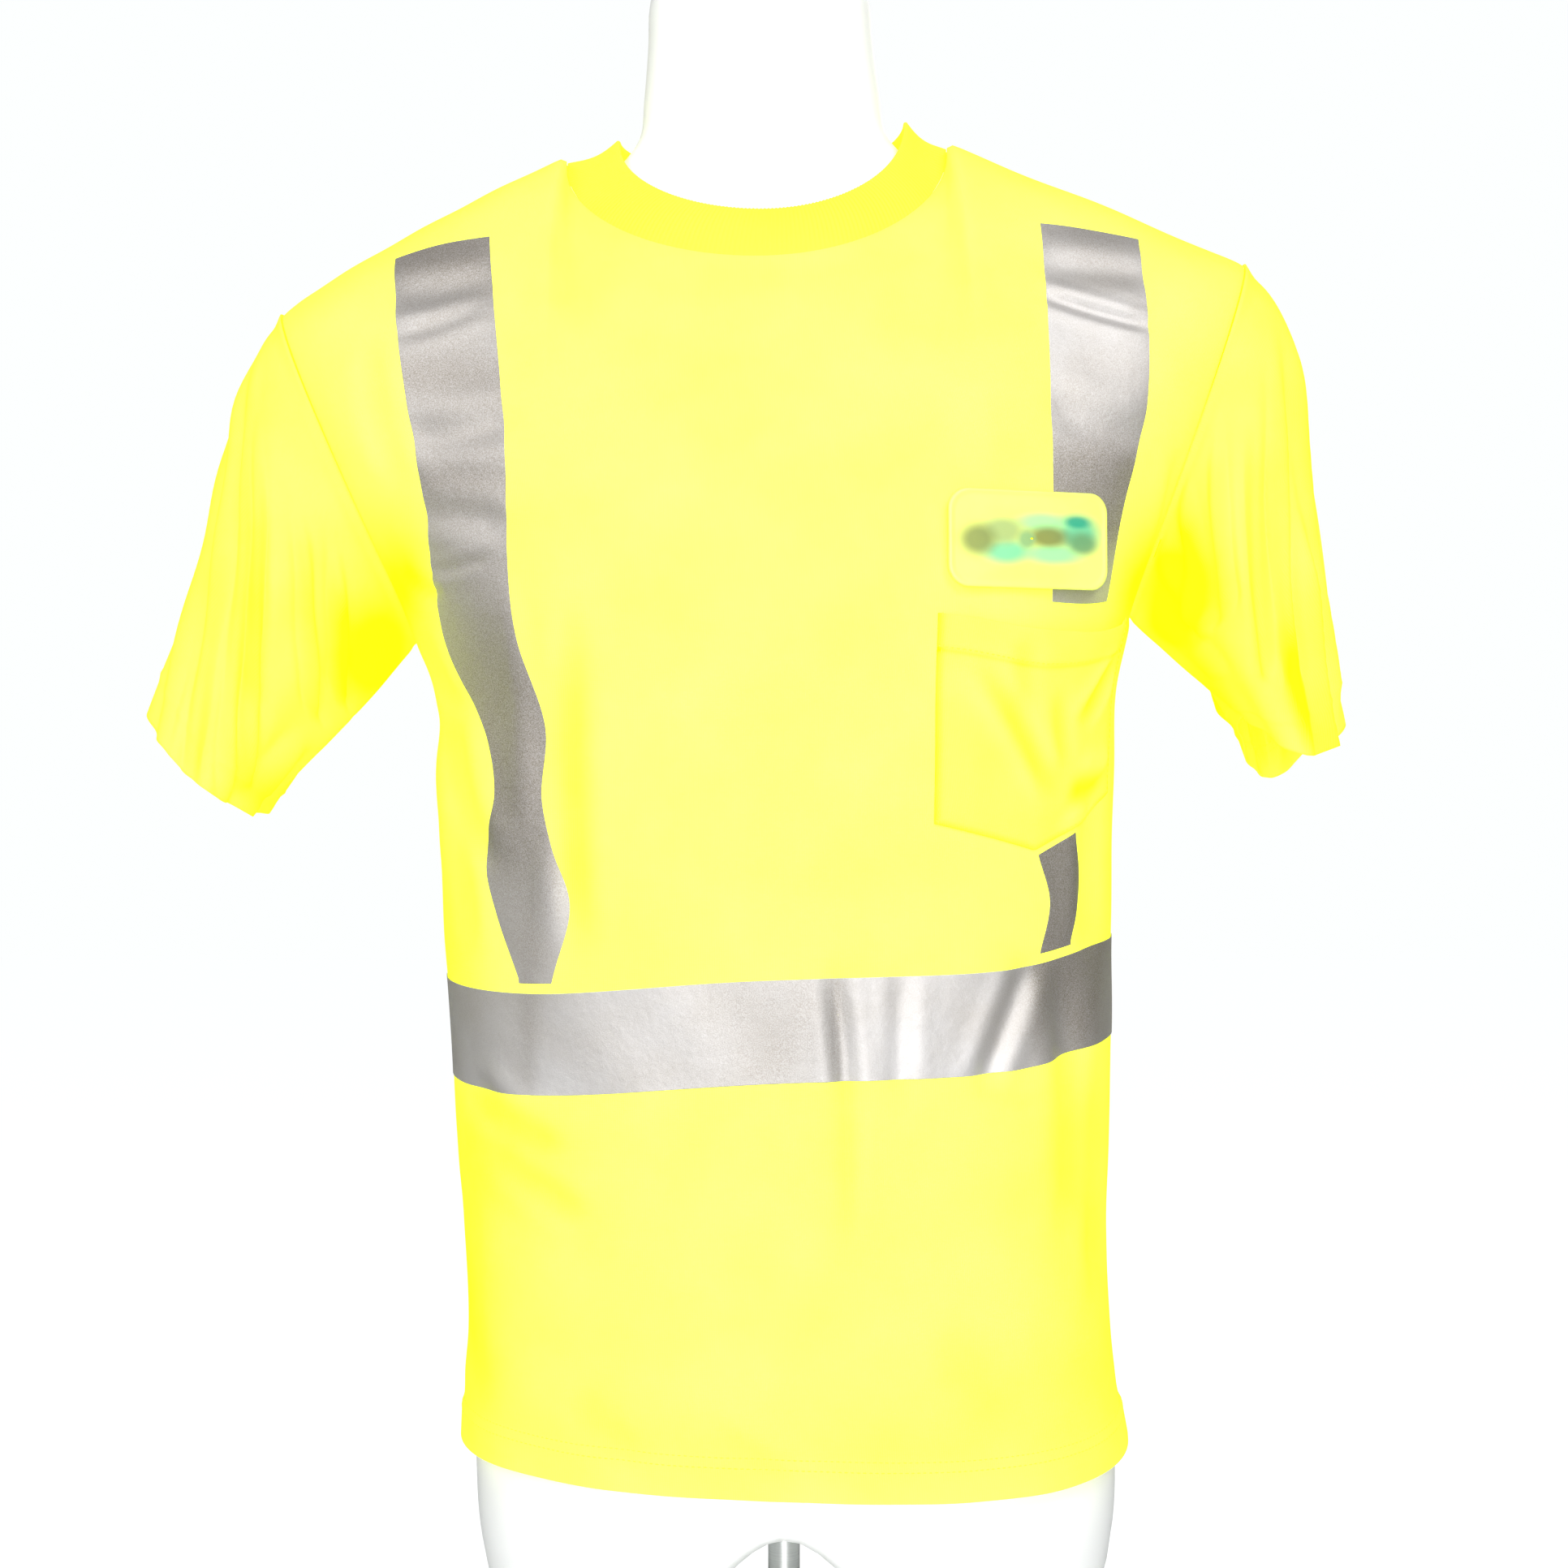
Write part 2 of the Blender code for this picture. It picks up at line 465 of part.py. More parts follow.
def make_form(look):
    """The dress form: rings from the underside to the neck, closed by a point at each end."""
    turn = np.arange(FORM_SIDES) / FORM_SIDES * 2 * math.pi
    cosine, sine = np.cos(turn), np.sin(turn)
    rings = []
    for height, half_width, front, back, power in FORM_RINGS:
        middle = FORM_CENTRE - FORM_LEAN * (height - HEM_HEIGHT)
        x = half_width * np.sign(cosine) * np.abs(cosine) ** power
        depth = np.where(sine < 0, front, back)
        y = depth * np.sign(sine) * np.abs(sine) ** power
        rings.append(np.stack([middle + x, y, height + FORM_LEAN * x], axis=-1))
    inner = rings[0] * np.array([UNDERSIDE, UNDERSIDE, 1.0])
    inner[:, 0] += (1 - UNDERSIDE) * FORM_CENTRE
    rings = np.array([inner] + rings)
    fade = np.clip(1 - (rings[..., 2] - FORM_RINGS[0][0]) / ARCH_FADE, 0, 1)
    rings[..., 2] += ARCH_RISE * np.exp(-(rings[..., 0] / ARCH_HALF_WIDTH) ** 2) * fade
    top = np.array([FORM_CENTRE - FORM_LEAN * (FORM_TOP - HEM_HEIGHT), 0, FORM_TOP])
    foot = np.array([0.0, 0.0, FORM_RINGS[0][0] + ARCH_RISE])
    points = np.concatenate([rings.reshape(-1, 3), [foot, top]])
    number = np.arange(len(rings) * FORM_SIDES).reshape(len(rings), FORM_SIDES)
    number = np.concatenate([number, number[:, :1]], axis=1)
    faces = np.stack([number[:-1, :-1], number[:-1, 1:], number[1:, 1:], number[1:, :-1]], axis=-1)
    faces = faces.reshape(-1, 4).tolist()
    foot_number, top_number = len(points) - 2, len(points) - 1
    faces += [[int(b), int(a), foot_number] for a, b in zip(number[0], number[0][1:])]
    faces += [[int(a), int(b), top_number] for a, b in zip(number[-1], number[-1][1:])]
    return add_mesh("dress_form", points, faces, look)


def make_cylinder(name, radius, low, high, sides, look, edge=0.0):
    """An upright cylinder, with its rims bevelled where an edge size is given."""
    work = bmesh.new()
    bmesh.ops.create_cone(work, cap_ends=True, segments=sides, radius1=radius, radius2=radius,
                          depth=high - low)
    bmesh.ops.translate(work, verts=work.verts, vec=(0, 0, (low + high) / 2))
    if edge:
        rims = [e for e in work.edges if len({round(v.co.z, 6) for v in e.verts}) == 1]
        bmesh.ops.bevel(work, geom=rims, offset=edge, segments=2, affect="EDGES", profile=0.5)
    mesh = bpy.data.meshes.new(name)
    work.to_mesh(mesh)
    work.free()
    mesh.shade_smooth()
    mesh.set_sharp_from_angle(angle=math.radians(40))
    mesh.materials.append(look)
    made = bpy.data.objects.new(name, mesh)
    bpy.context.scene.collection.objects.link(made)
    return made


def make_shirt():
    """Every cloth piece of the shirt, and its badge."""
    jersey = material("hi_vis_jersey", YELLOW, 0.9)
    rib = material("rib_knit", RIB_YELLOW, 0.9)
    tape = material("reflective_tape", SILVER, 0.45, 0.3)
    front, back = panel_grid(FRONT), panel_grid(BACK)
    front_normals, back_normals = normals_of(front), normals_of(back) * -1
    for name, hand in (("sleeve_right", -1), ("sleeve_left", 1)):
        grid = sleeve_grid(hand, front, back)
        wall(name, grid, ring_normals(grid, -hand), CLOTH, jersey, ring=True)
    grid = rib_grid(front, back)
    wall("neck_rib", grid, ring_normals(grid, 1), RIB_WALL, rib, ring=True)
    front, back = trimmed(front, SEAM_TRIM), trimmed(back, SEAM_TRIM)
    wall("front_panel", front, front_normals, CLOTH, jersey)
    wall("back_panel", back, back_normals, CLOTH, jersey)

    at, row = FRONT_COLUMN, ROW
    last_front, last_back = front.shape[1] - 1, back.shape[1] - 1
    lay("chest_pocket", front, front_normals, (row["pocket_foot"], row["mouth"]),
        (at["pocket"], at["pocket_end"]), jersey)
    lay("tape_front_right", front, front_normals, (row["tape_foot"], row["tape_top"]),
        (at["right_outer"], at["right_inner"]), tape)
    lay("tape_front_left_upper", front, front_normals, (row["tape_end"], row["tape_top"]),
        (at["left_inner"], at["left_outer"]), tape)
    lay("tape_front_left_lower", front, front_normals, (row["tape_foot"], row["under_pocket"]),
        (at["left_inner"], at["left_outer"]), tape)
    lay("band_front", front, front_normals, (row["band_low"], row["band_high"]), (0, last_front), tape)
    lay("band_back", back, back_normals, (row["band_low"], row["band_high"]), (0, last_back), tape)
    at = BACK_COLUMN
    lay("tape_back_right", back, back_normals, (row["tape_foot"], row["tape_top"]),
        (at["right_outer"], at["right_inner"]), tape)
    lay("tape_back_left", back, back_normals, (row["tape_foot"], row["tape_top"]),
        (at["left_inner"], at["left_outer"]), tape)
    make_badge(material("badge_plastic", PALE, 0.5))


def main():
    for old in list(bpy.data.objects):
        bpy.data.objects.remove(old)
    make_shirt()
    make_form(material("form_white", WHITE, 0.35))
    steel = material("brushed_metal", STEEL, 0.35, 0.9)
    make_cylinder("pole", POLE_RADIUS, BASE_THICK + LAY_GAP, POLE_TOP, 24, steel)
    make_cylinder("base", BASE_RADIUS, 0.0, BASE_THICK, 48, steel, BASE_EDGE)


main()
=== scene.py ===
# %% [markdown]
# # A hi-vis t-shirt on a dress form
# The real thing is a bright yellow jersey shirt with silver reflective tape, pulled over a
# smooth white form that stands on a pole. Its shape could be simulated, but a worn shirt is
# mostly held by its cut, so here every piece is a surface worked out from the shirt's own
# sizes, and the folds are drawn in where gravity and the seams put them.

# %% Load the frame
import math

import bpy
import numpy as np
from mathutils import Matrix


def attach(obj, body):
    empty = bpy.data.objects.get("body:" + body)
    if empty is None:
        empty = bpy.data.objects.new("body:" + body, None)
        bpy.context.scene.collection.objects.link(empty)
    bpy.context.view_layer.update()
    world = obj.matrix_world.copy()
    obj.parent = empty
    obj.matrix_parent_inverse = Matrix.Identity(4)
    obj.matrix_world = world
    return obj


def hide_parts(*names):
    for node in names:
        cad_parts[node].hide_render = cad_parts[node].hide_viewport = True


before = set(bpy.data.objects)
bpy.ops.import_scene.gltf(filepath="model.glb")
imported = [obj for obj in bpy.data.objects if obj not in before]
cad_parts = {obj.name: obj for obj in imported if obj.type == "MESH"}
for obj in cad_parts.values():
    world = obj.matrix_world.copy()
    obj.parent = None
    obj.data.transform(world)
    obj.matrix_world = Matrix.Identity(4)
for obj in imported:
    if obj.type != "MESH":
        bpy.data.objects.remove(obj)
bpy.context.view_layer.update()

# %% [markdown]
# ## The camera first
# A camera at chest height, square to the shirt and 1.4 m away, sees the underside of the
# shoulders a little and looks down on the hem a little, as a shopper would. It is made
# first so that everything after it can be judged from the right place.

# %% Camera
CAMERA_DISTANCE = 1.40
CAMERA_HEIGHT = 0.70
LENS, SENSOR = 60.0, 36.0


def add_camera():
    """A camera on the line y = -distance that looks level along +Y."""
    data = bpy.data.cameras.new("shop_camera")
    data.lens, data.sensor_width = LENS, SENSOR
    data.clip_end = 60.0
    camera = bpy.data.objects.new("shop_camera", data)
    camera.location = (0.0, -CAMERA_DISTANCE, CAMERA_HEIGHT)
    camera.rotation_euler = (math.pi / 2, 0.0, 0.0)
    bpy.context.scene.collection.objects.link(camera)
    bpy.context.scene.camera = camera


add_camera()
print("half the view at the shirt:", CAMERA_DISTANCE * SENSOR / LENS / 2, "m")

# %% [markdown]
# ## Smooth curves from a few sizes
# A tailor's chart gives a handful of sizes at named heights. Splines could pass through them,
# but a cubic between neighbours is enough: it never overshoots far, it works on whole arrays,
# and the same few lines serve the body, the tapes and the form.

# %% Curves
FRONT, BACK = -1, 1


def curve(points, at):
    """Value at a place: between two points, the cubic that has both values and both slopes."""
    place, value = np.array(points, dtype=float).T
    slope = np.gradient(value, place)
    at = np.clip(at, place[0], place[-1])
    i = np.clip(np.searchsorted(place, at) - 1, 0, len(place) - 2)
    step = place[i + 1] - place[i]
    t = (at - place[i]) / step
    return ((1 + 2 * t) * (1 - t) ** 2 * value[i] + t * (1 - t) ** 2 * step * slope[i]
            + t * t * (3 - 2 * t) * value[i + 1] + t * t * (t - 1) * step * slope[i + 1])


def ease(share):
    """Smooth step: 3t^2 - 2t^3, from 0 to 1 as the share goes from 0 to 1."""
    share = np.clip(share, 0.0, 1.0)
    return share * share * (3 - 2 * share)


print("halfway up an ease:", float(ease(0.5)))

# %% [markdown]
# ## The size chart
# All the sizes below are the same as in the part's source, because each cloth surface has to
# lie on its solid. Heights are above the floor. A place on a line round the body runs from -1
# at the wearer's right side seam to 1 at the left one.

# %% Size chart
CENTRE = [(0.348, 0.0065), (0.410, 0.0025), (0.470, 0.0), (0.610, -0.003), (0.700, -0.0040),
          (0.750, -0.0040), (0.783, -0.007)]
HALF_WIDTH = [(0.348, 0.1775), (0.410, 0.1710), (0.470, 0.171), (0.610, 0.177), (0.700, 0.1795),
              (0.750, 0.1810), (0.783, 0.1905)]
FRONT_DEPTH = [(0.348, 0.127), (0.470, 0.122), (0.610, 0.120), (0.750, 0.124), (0.783, 0.125)]
BACK_DEPTH = [(0.348, 0.126), (0.470, 0.118), (0.610, 0.116), (0.750, 0.122), (0.783, 0.124)]
HEM_LINE = [(-1, 0.358), (-0.45, 0.3535), (0, 0.350), (0.3, 0.347), (0.6, 0.348), (1, 0.356)]
BAND_LINE = [(-1, 0.574), (-0.45, 0.5698), (0, 0.5785), (0.45, 0.583), (0.7, 0.5915), (1, 0.5955)]
POCKET_FOOT = [(-1, 0.680), (0.25, 0.6804), (0.48, 0.6668), (0.80, 0.697), (1, 0.700)]
ARMPIT_LINE = [(-1, 0.777), (-0.3, 0.783), (0.25, 0.784), (0.45, 0.778), (0.62, 0.778),
               (0.8, 0.785), (1, 0.790)]
SQUARENESS = 0.87
HEM_FOLD = 0.020
TAPE_WIDTH = 0.0508
NECK_PLACE = 0.36
NECK_SIDE = {-1: (-0.116, 1.033), 1: (0.087, 1.0405)}
NECK_MIDDLE = (NECK_SIDE[-1][0] + NECK_SIDE[1][0]) / 2
SHOULDER_TIP = {-1: (-0.265, 0.949), 1: (0.243, 0.9755)}
SHOULDER_RISE = {-1: 0.0055, 1: 0.0005}
NECK_LOW = {FRONT: 0.966, BACK: 1.018}
NECK_DEPTH = {FRONT: 0.086, BACK: 0.086}
ARMHOLE_DEPTH = {FRONT: 0.058, BACK: 0.060}
CHEST_ROLL = 45.0
NECK_SPREAD = 0.16
print("hem to neck point:", round(NECK_SIDE[1][1] - HEM_LINE[1][1], 3), "m")

# %% [markdown]
# ## The body of the shirt as one formula
# Below the armpits a shirt on a form is a squared ellipse that changes slowly with height.
# Above them each column of cloth rolls over the chest or the shoulder blade like a quarter of
# an ellipse and ends on the shoulder seam or the neckline. Two formulas joined at the armpit
# line give the whole panel, so that tapes and pocket can later be cut out of the same surface.

# %% Body formulas


def body_points(place, height, side):
    """x = centre + half width * sin^s, y = depth * cos^s of the place's quarter turn, z = height."""
    angle = place * math.pi / 2
    depth = curve(FRONT_DEPTH if side == FRONT else BACK_DEPTH, height)
    reach = np.sign(place) * np.abs(np.sin(angle)) ** SQUARENESS
    x = curve(CENTRE, height) + curve(HALF_WIDTH, height) * reach
    y = side * depth * np.abs(np.cos(angle)) ** SQUARENESS
    return np.stack([x, y, height + 0 * place], axis=-1)


def by_hand(table, left, column=0):
    """Picks the wearer's right or left value from a column of a table, for each place."""
    right_value, left_value = (np.atleast_1d(table[hand])[column] for hand in (-1, 1))
    return np.where(left, left_value, right_value)


def top_points(place, side):
    """Top edge of a panel: a straight, slightly bowed shoulder seam, then half an ellipse."""
    left = place >= 0
    neck_x, neck_z = (by_hand(NECK_SIDE, left, column) for column in (0, 1))
    tip_x, tip_z = (by_hand(SHOULDER_TIP, left, column) for column in (0, 1))
    along = np.clip((np.abs(place) - NECK_PLACE) / (1 - NECK_PLACE), 0, 1)
    turn = np.clip(np.abs(place) / NECK_PLACE, 0, 1) * math.pi / 2
    on_neck = np.abs(place) < NECK_PLACE
    x = np.where(on_neck, NECK_MIDDLE + (neck_x - NECK_MIDDLE) * np.sin(turn),
                 neck_x + (tip_x - neck_x) * along)
    z = np.where(on_neck, NECK_LOW[side] + (neck_z - NECK_LOW[side]) * (1 - np.cos(turn)),
                 neck_z + (tip_z - neck_z) * along
                 + by_hand(SHOULDER_RISE, left) * np.sin(math.pi * along))
    y = np.where(on_neck, side * NECK_DEPTH[side] * np.cos(turn), 0.0)
    return np.stack([x, y, z], axis=-1)


def line_height(line, place, side):
    """Height of a line round the body: its own shape in front, straight across the back."""
    if side == BACK:
        return line[0][1] + (line[-1][1] - line[0][1]) * (place + 1) / 2
    if line is POCKET_FOOT:
        return np.interp(place, *np.array(line).T)
    return curve(line, place)


def chest_points(place, rise, side):
    """An arc of an ellipse from the armpit line to the top edge, let out at the armhole."""
    low = body_points(place, line_height(ARMPIT_LINE, place, side), side)
    # Away from the top edge, its corners at the neck are softened by a mean over nearby places.
    spread = np.minimum(NECK_SPREAD * (1 - rise), 1 - np.abs(place))
    top = sum(top_points(place + shift * spread, side) for shift in np.linspace(-1, 1, 7)) / 7
    roll = np.radians(np.clip(CHEST_ROLL + (90 - CHEST_ROLL) * (place / NECK_PLACE) ** 2, 0, 90))
    up = (np.sin(roll * rise) / np.sin(roll))[..., None]
    over = (1 - np.cos(roll * rise)) / (1 - np.cos(roll))
    points = low + (top - low) * up
    points[..., 1] = low[..., 1] + (top[..., 1] - low[..., 1]) * over
    bulge = ARMHOLE_DEPTH[side] * np.sin(math.pi * np.clip(rise, 0, 1)) ** 0.8
    points[..., 1] += side * bulge * np.abs(np.sin(place * math.pi / 2)) ** 4
    return points


print("front neck point:", np.round(chest_points(np.array([0.0]), 1.0, FRONT)[0], 3))

# %% [markdown]
# ## Rows of cloth
# A knitter counts courses; here a row is either a blend of two named lines (hem, band, pocket
# foot, armpit) or a share of the way from the armpit to the top edge. A single number from 0
# to 2 names any row: up to 1 is below the armpits, up to 2 is above. Fine and coarse pieces can
# then ask for the rows they need.

# %% Rows
HALF_TAPE = TAPE_WIDTH / 2
LINES = [(HEM_LINE, 0.0), (HEM_LINE, HEM_FOLD), (BAND_LINE, -HALF_TAPE), (BAND_LINE, HALF_TAPE),
         (BAND_LINE, HALF_TAPE + 0.005), (POCKET_FOOT, -0.0035), (POCKET_FOOT, 0.0), (ARMPIT_LINE, 0.0)]
LEVEL = dict(zip(("hem", "hem_stitch", "band_low", "band_high", "tape_foot", "under_pocket",
                  "pocket_foot", "armpit"), range(len(LINES))))
TOP_LEVEL = LEVEL["armpit"] + 1


def row_points(level, place, side):
    """Points at a level: line number plus share to the next line, and past the armpit the rise."""
    level, place = np.broadcast_arrays(np.asarray(level, dtype=float), place)
    heights = np.array([line_height(line, place, side) + shift for line, shift in LINES])
    low = np.clip(level.astype(int), 0, len(LINES) - 2)
    share = np.clip(level - low, 0, 1)
    lower = np.take_along_axis(heights, low[None], axis=0)[0]
    upper = np.take_along_axis(heights, low[None] + 1, axis=0)[0]
    under_arm = body_points(place, lower + (upper - lower) * share, side)
    over_arm = chest_points(place, np.clip(level - LEVEL["armpit"], 0, 1), side)
    return np.where((level > LEVEL["armpit"])[..., None], over_arm, under_arm)


def levels_between(first, last, spacing):
    """Levels about one spacing apart in metres, with every named line and a row by each edge."""
    marks = [first, *range(int(first) + 1, int(math.ceil(last))), last]
    runs = []
    for low, high in zip(marks, marks[1:]):
        path = row_points(np.linspace(low, high, 9), np.full(9, 0.3), FRONT)
        length = np.linalg.norm(np.diff(path, axis=0), axis=1).sum()
        runs.append(np.linspace(low, high, max(1, round(length / spacing)), endpoint=False))
    levels = np.concatenate(runs + [[last]])
    edges = [levels[0] + 0.12 * (levels[1] - levels[0]), levels[-1] - 0.12 * (levels[-1] - levels[-2])]
    return np.unique(np.concatenate([levels, edges]))


print("rows from hem to top at 3 mm:", len(levels_between(0, TOP_LEVEL, 0.003)))

# %% [markdown]
# ## Folds drawn one by one
# Jersey is soft, so its folds are shallow troughs with a small roll of cloth on each side.
# A sculpting brush could make them, but a formula can be placed in metres and repeated: each
# fold is a line with a half width, a depth and a bow. Sharp pinches are narrow, and drapes are wide.

# %% Folds
ROLL_PLACE = 1.7


def fold_profile(off, roll):
    """-exp(-t^2) for the trough, plus a share of the same hump 1.7 half widths to each side."""
    hump = np.exp(-(off - ROLL_PLACE) ** 2) + np.exp(-(off + ROLL_PLACE) ** 2)
    return -np.exp(-off ** 2) + roll * hump


def fold_height(x, z, folds):
    """Sum of the folds' heights at (x, z): profile across each line, eased out at both ends."""
    total = np.zeros_like(x)
    for (x0, z0), (x1, z1), half_width, depth, bow, roll in folds:
        length = math.hypot(x1 - x0, z1 - z0)
        dx, dz = (x1 - x0) / length, (z1 - z0) / length
        along = ((x - x0) * dx + (z - z0) * dz) / length
        off = (x - x0) * dz - (z - z0) * dx - bow * 4 * along * (1 - along)
        ends = ease(along / 0.35 + 0.3) * ease((1 - along) / 0.35 + 0.3)
        total += depth * fold_profile(off / half_width, roll) * ends
    return total


# Each fold: start (x, z), end (x, z), half width, depth, bow, share of the rolls beside it.
FRONT_FOLDS = [
    ((-0.106, 0.785), (-0.100, 0.615), 0.0085, 0.0042, 0.003, 0.45),   # beside the right tape
    ((-0.128, 0.800), (-0.121, 0.660), 0.0070, 0.0022, -0.004, 0.4),
    ((-0.208, 0.925), (-0.192, 0.850), 0.0070, 0.0024, 0.004, 0.4),
    ((-0.196, 0.814), (-0.174, 0.795), 0.0045, 0.0024, 0.002, 0.5),    # from the right armpit
    ((-0.186, 0.780), (-0.166, 0.738), 0.0055, 0.0022, 0.003, 0.4),
    ((-0.172, 0.735), (-0.150, 0.660), 0.0080, 0.0038, 0.004, 0.5),
    ((-0.170, 0.680), (-0.162, 0.612), 0.0060, 0.0022, -0.003, 0.5),
    ((-0.160, 0.545), (-0.112, 0.516), 0.0080, 0.0040, 0.003, 0.5),    # dragged below the band
    ((-0.150, 0.520), (-0.098, 0.484), 0.0075, 0.0032, 0.003, 0.5),
    ((-0.163, 0.500), (-0.156, 0.385), 0.0090, 0.0034, 0.004, 0.4),
    ((0.024, 0.612), (0.031, 0.478), 0.0055, 0.0026, -0.003, 0.5),     # middle, through the band
    ((0.058, 0.610), (0.056, 0.530), 0.0060, 0.0014, 0.0, 0.4),
    ((0.122, 0.612), (0.098, 0.548), 0.0060, 0.0030, 0.0, 0.5),
    ((0.140, 0.606), (0.146, 0.470), 0.0080, 0.0040, -0.002, 0.5),     # left side drapes
    ((0.161, 0.560), (0.164, 0.430), 0.0070, 0.0036, 0.002, 0.4),
    ((0.096, 0.548), (0.128, 0.536), 0.0045, 0.0014, 0.0, 0.4),
    ((0.080, 0.430), (0.124, 0.378), 0.0150, 0.0018, 0.004, 0.3),
    ((-0.030, 0.384), (0.006, 0.360), 0.0065, 0.0016, 0.002, 0.4),
    ((-0.105, 0.400), (-0.070, 0.366), 0.0090, 0.0018, 0.002, 0.3),
    ((0.158, 0.700), (0.156, 0.618), 0.0060, 0.0026, 0.002, 0.5),
    ((-0.202, 0.948), (-0.146, 0.954), 0.0080, 0.0017, 0.001, 0.7),    # across the right tape
    ((-0.196, 0.926), (-0.150, 0.941), 0.0045, 0.0011, 0.001, 0.6),
    ((-0.194, 0.874), (-0.132, 0.882), 0.0085, 0.0015, 0.002, 0.7),
    ((-0.186, 0.836), (-0.136, 0.829), 0.0070, 0.0013, -0.001, 0.7),
    ((-0.181, 0.806), (-0.148, 0.813), 0.0032, 0.0013, 0.001, 0.5),
    ((0.126, 0.9475), (0.186, 0.930), 0.0034, 0.0019, 0.001, 0.6),     # across the left tape
    ((0.128, 0.962), (0.188, 0.958), 0.0075, 0.0016, 0.0, 0.7),
    ((0.132, 0.892), (0.180, 0.872), 0.0090, 0.0017, 0.002, 0.7),
    ((0.086, 0.998), (0.090, 0.940), 0.0060, 0.0014, 0.002, 0.4),      # from the neck
    ((-0.118, 0.985), (-0.110, 0.930), 0.0080, 0.0012, -0.003, 0.4),
    ((0.204, 0.868), (0.190, 0.806), 0.0060, 0.0030, -0.003, 0.5),     # beside the left armhole
]
BACK_FOLDS = [
    ((-0.066, 0.930), (-0.082, 0.650), 0.0130, 0.0040, 0.010, 0.4),
    ((0.066, 0.940), (0.078, 0.640), 0.0130, 0.0040, -0.010, 0.4),
    ((-0.020, 0.900), (-0.014, 0.690), 0.0110, 0.0026, 0.006, 0.4),
    ((-0.195, 0.815), (-0.120, 0.770), 0.0100, 0.0026, 0.004, 0.4),
    ((0.182, 0.828), (0.112, 0.780), 0.0100, 0.0026, -0.004, 0.4),
    ((-0.188, 0.790), (-0.130, 0.700), 0.0100, 0.0028, 0.006, 0.4),
    ((0.176, 0.800), (0.122, 0.710), 0.0100, 0.0028, -0.006, 0.4),
    ((-0.060, 0.560), (-0.075, 0.390), 0.0120, 0.0040, 0.006, 0.4),
    ((0.020, 0.620), (0.014, 0.440), 0.0100, 0.0030, -0.004, 0.4),
    ((0.094, 0.600), (0.104, 0.400), 0.0120, 0.0042, 0.006, 0.4),
    ((-0.140, 0.630), (-0.146, 0.450), 0.0090, 0.0038, -0.004, 0.5),
    ((-0.100, 0.980), (-0.060, 0.905), 0.0120, 0.0024, 0.006, 0.3),
    ((0.085, 0.985), (0.050, 0.910), 0.0120, 0.0024, -0.006, 0.3),
]
FOLDS = {FRONT: FRONT_FOLDS, BACK: BACK_FOLDS}
print("folds in front and behind:", [len(folds) for folds in FOLDS.values()])

# %% [markdown]
# ## From the formula to the cloth
# The smooth panel is only the start. The cloth function adds the folds, the small dips where
# the panel is sewn, the double cloth of the hem and a slow waviness, all along the surface's
# own normals. Every later piece on the panel calls it, so they all agree.

# %% Cloth function
SEAM_DIP, SEAM_REACH = 0.0004, 0.0024
HALF_GIRTH = 0.28
TOP_RUN = 0.25
FREE_RUN = 0.020
HEM_STEP, HEM_GROOVE = 0.0006, 0.0007
TRIM_LIFT = 0.00045


def normals_of(points):
    """Unit normals of a grid: the cross product of its slopes across and along."""
    across = np.gradient(points, axis=1)
    along = np.gradient(points, axis=0)
    normal = np.cross(across, along)
    length = np.linalg.norm(normal, axis=-1, keepdims=True)
    return normal / np.maximum(length, 1e-12)


def slow_waves(x, z):
    """Waviness of hanging jersey: three sine waves that cross at different angles."""
    return (0.00055 * np.sin(31 * x + 17 * z) + 0.00040 * np.sin(63 * x - 41 * z + 1.3)
            + 0.00022 * np.sin(118 * x + 87 * z + 0.4))


def cloth(side, levels, places):
    """Grid of the worn cloth: formula points moved along their normals by everything above."""
    level = np.broadcast_to(np.reshape(levels, (len(levels), -1)), np.shape(places))
    smooth = row_points(level, places, side)
    normal = normals_of(smooth) * -side
    x, z = smooth[..., 0], smooth[..., 2]
    to_side = (1 - np.abs(places)) * HALF_GIRTH
    to_top = np.clip(TOP_LEVEL - level, 0, 1) * TOP_RUN
    free = ease(to_side / FREE_RUN) * ease(to_top / FREE_RUN)
    height = (fold_height(x, z, FOLDS[side]) + slow_waves(x, z)) * free
    height -= SEAM_DIP * (np.exp(-(to_side / SEAM_REACH) ** 2) + np.exp(-(to_top / SEAM_REACH) ** 2))
    hem = 1 - ease((level - LEVEL["hem_stitch"] + 0.06) / 0.10)
    height += HEM_STEP * hem * (1 + 0.9 * np.sin(95 * x + 2.0 * side) * np.sin(37 * x))
    height -= HEM_GROOVE * np.exp(-((level - LEVEL["hem_stitch"]) / 0.07) ** 2)
    return smooth + normal * height[..., None]


def soft_shade(points, ovals):
    """Sum of ovals, each its strength times exp(-distance^2) in its own half sizes, to 1 at most."""
    x, z = points[..., 0], points[..., 2]
    return np.clip(sum(strength * np.exp(-((x - at_x) / wide) ** 2 - ((z - at_z) / tall) ** 2)
                       for at_x, at_z, wide, tall, strength in ovals), 0, 1)


def painted_cloth_shade(points, side):
    """Painted shade of the cloth, 0 to 1: from the depth of the folds, plus ovals of soft shade."""
    x, z = points[..., 0], points[..., 2]
    folds = np.clip(-fold_height(x, z, FOLDS[side]) / DEEP_FOLD, 0, 1)
    return np.clip(FOLD_SHADE * folds + soft_shade(points, SOFT_SHADE), 0, 1)


DEEP_FOLD, FOLD_SHADE = 0.005, 0.32
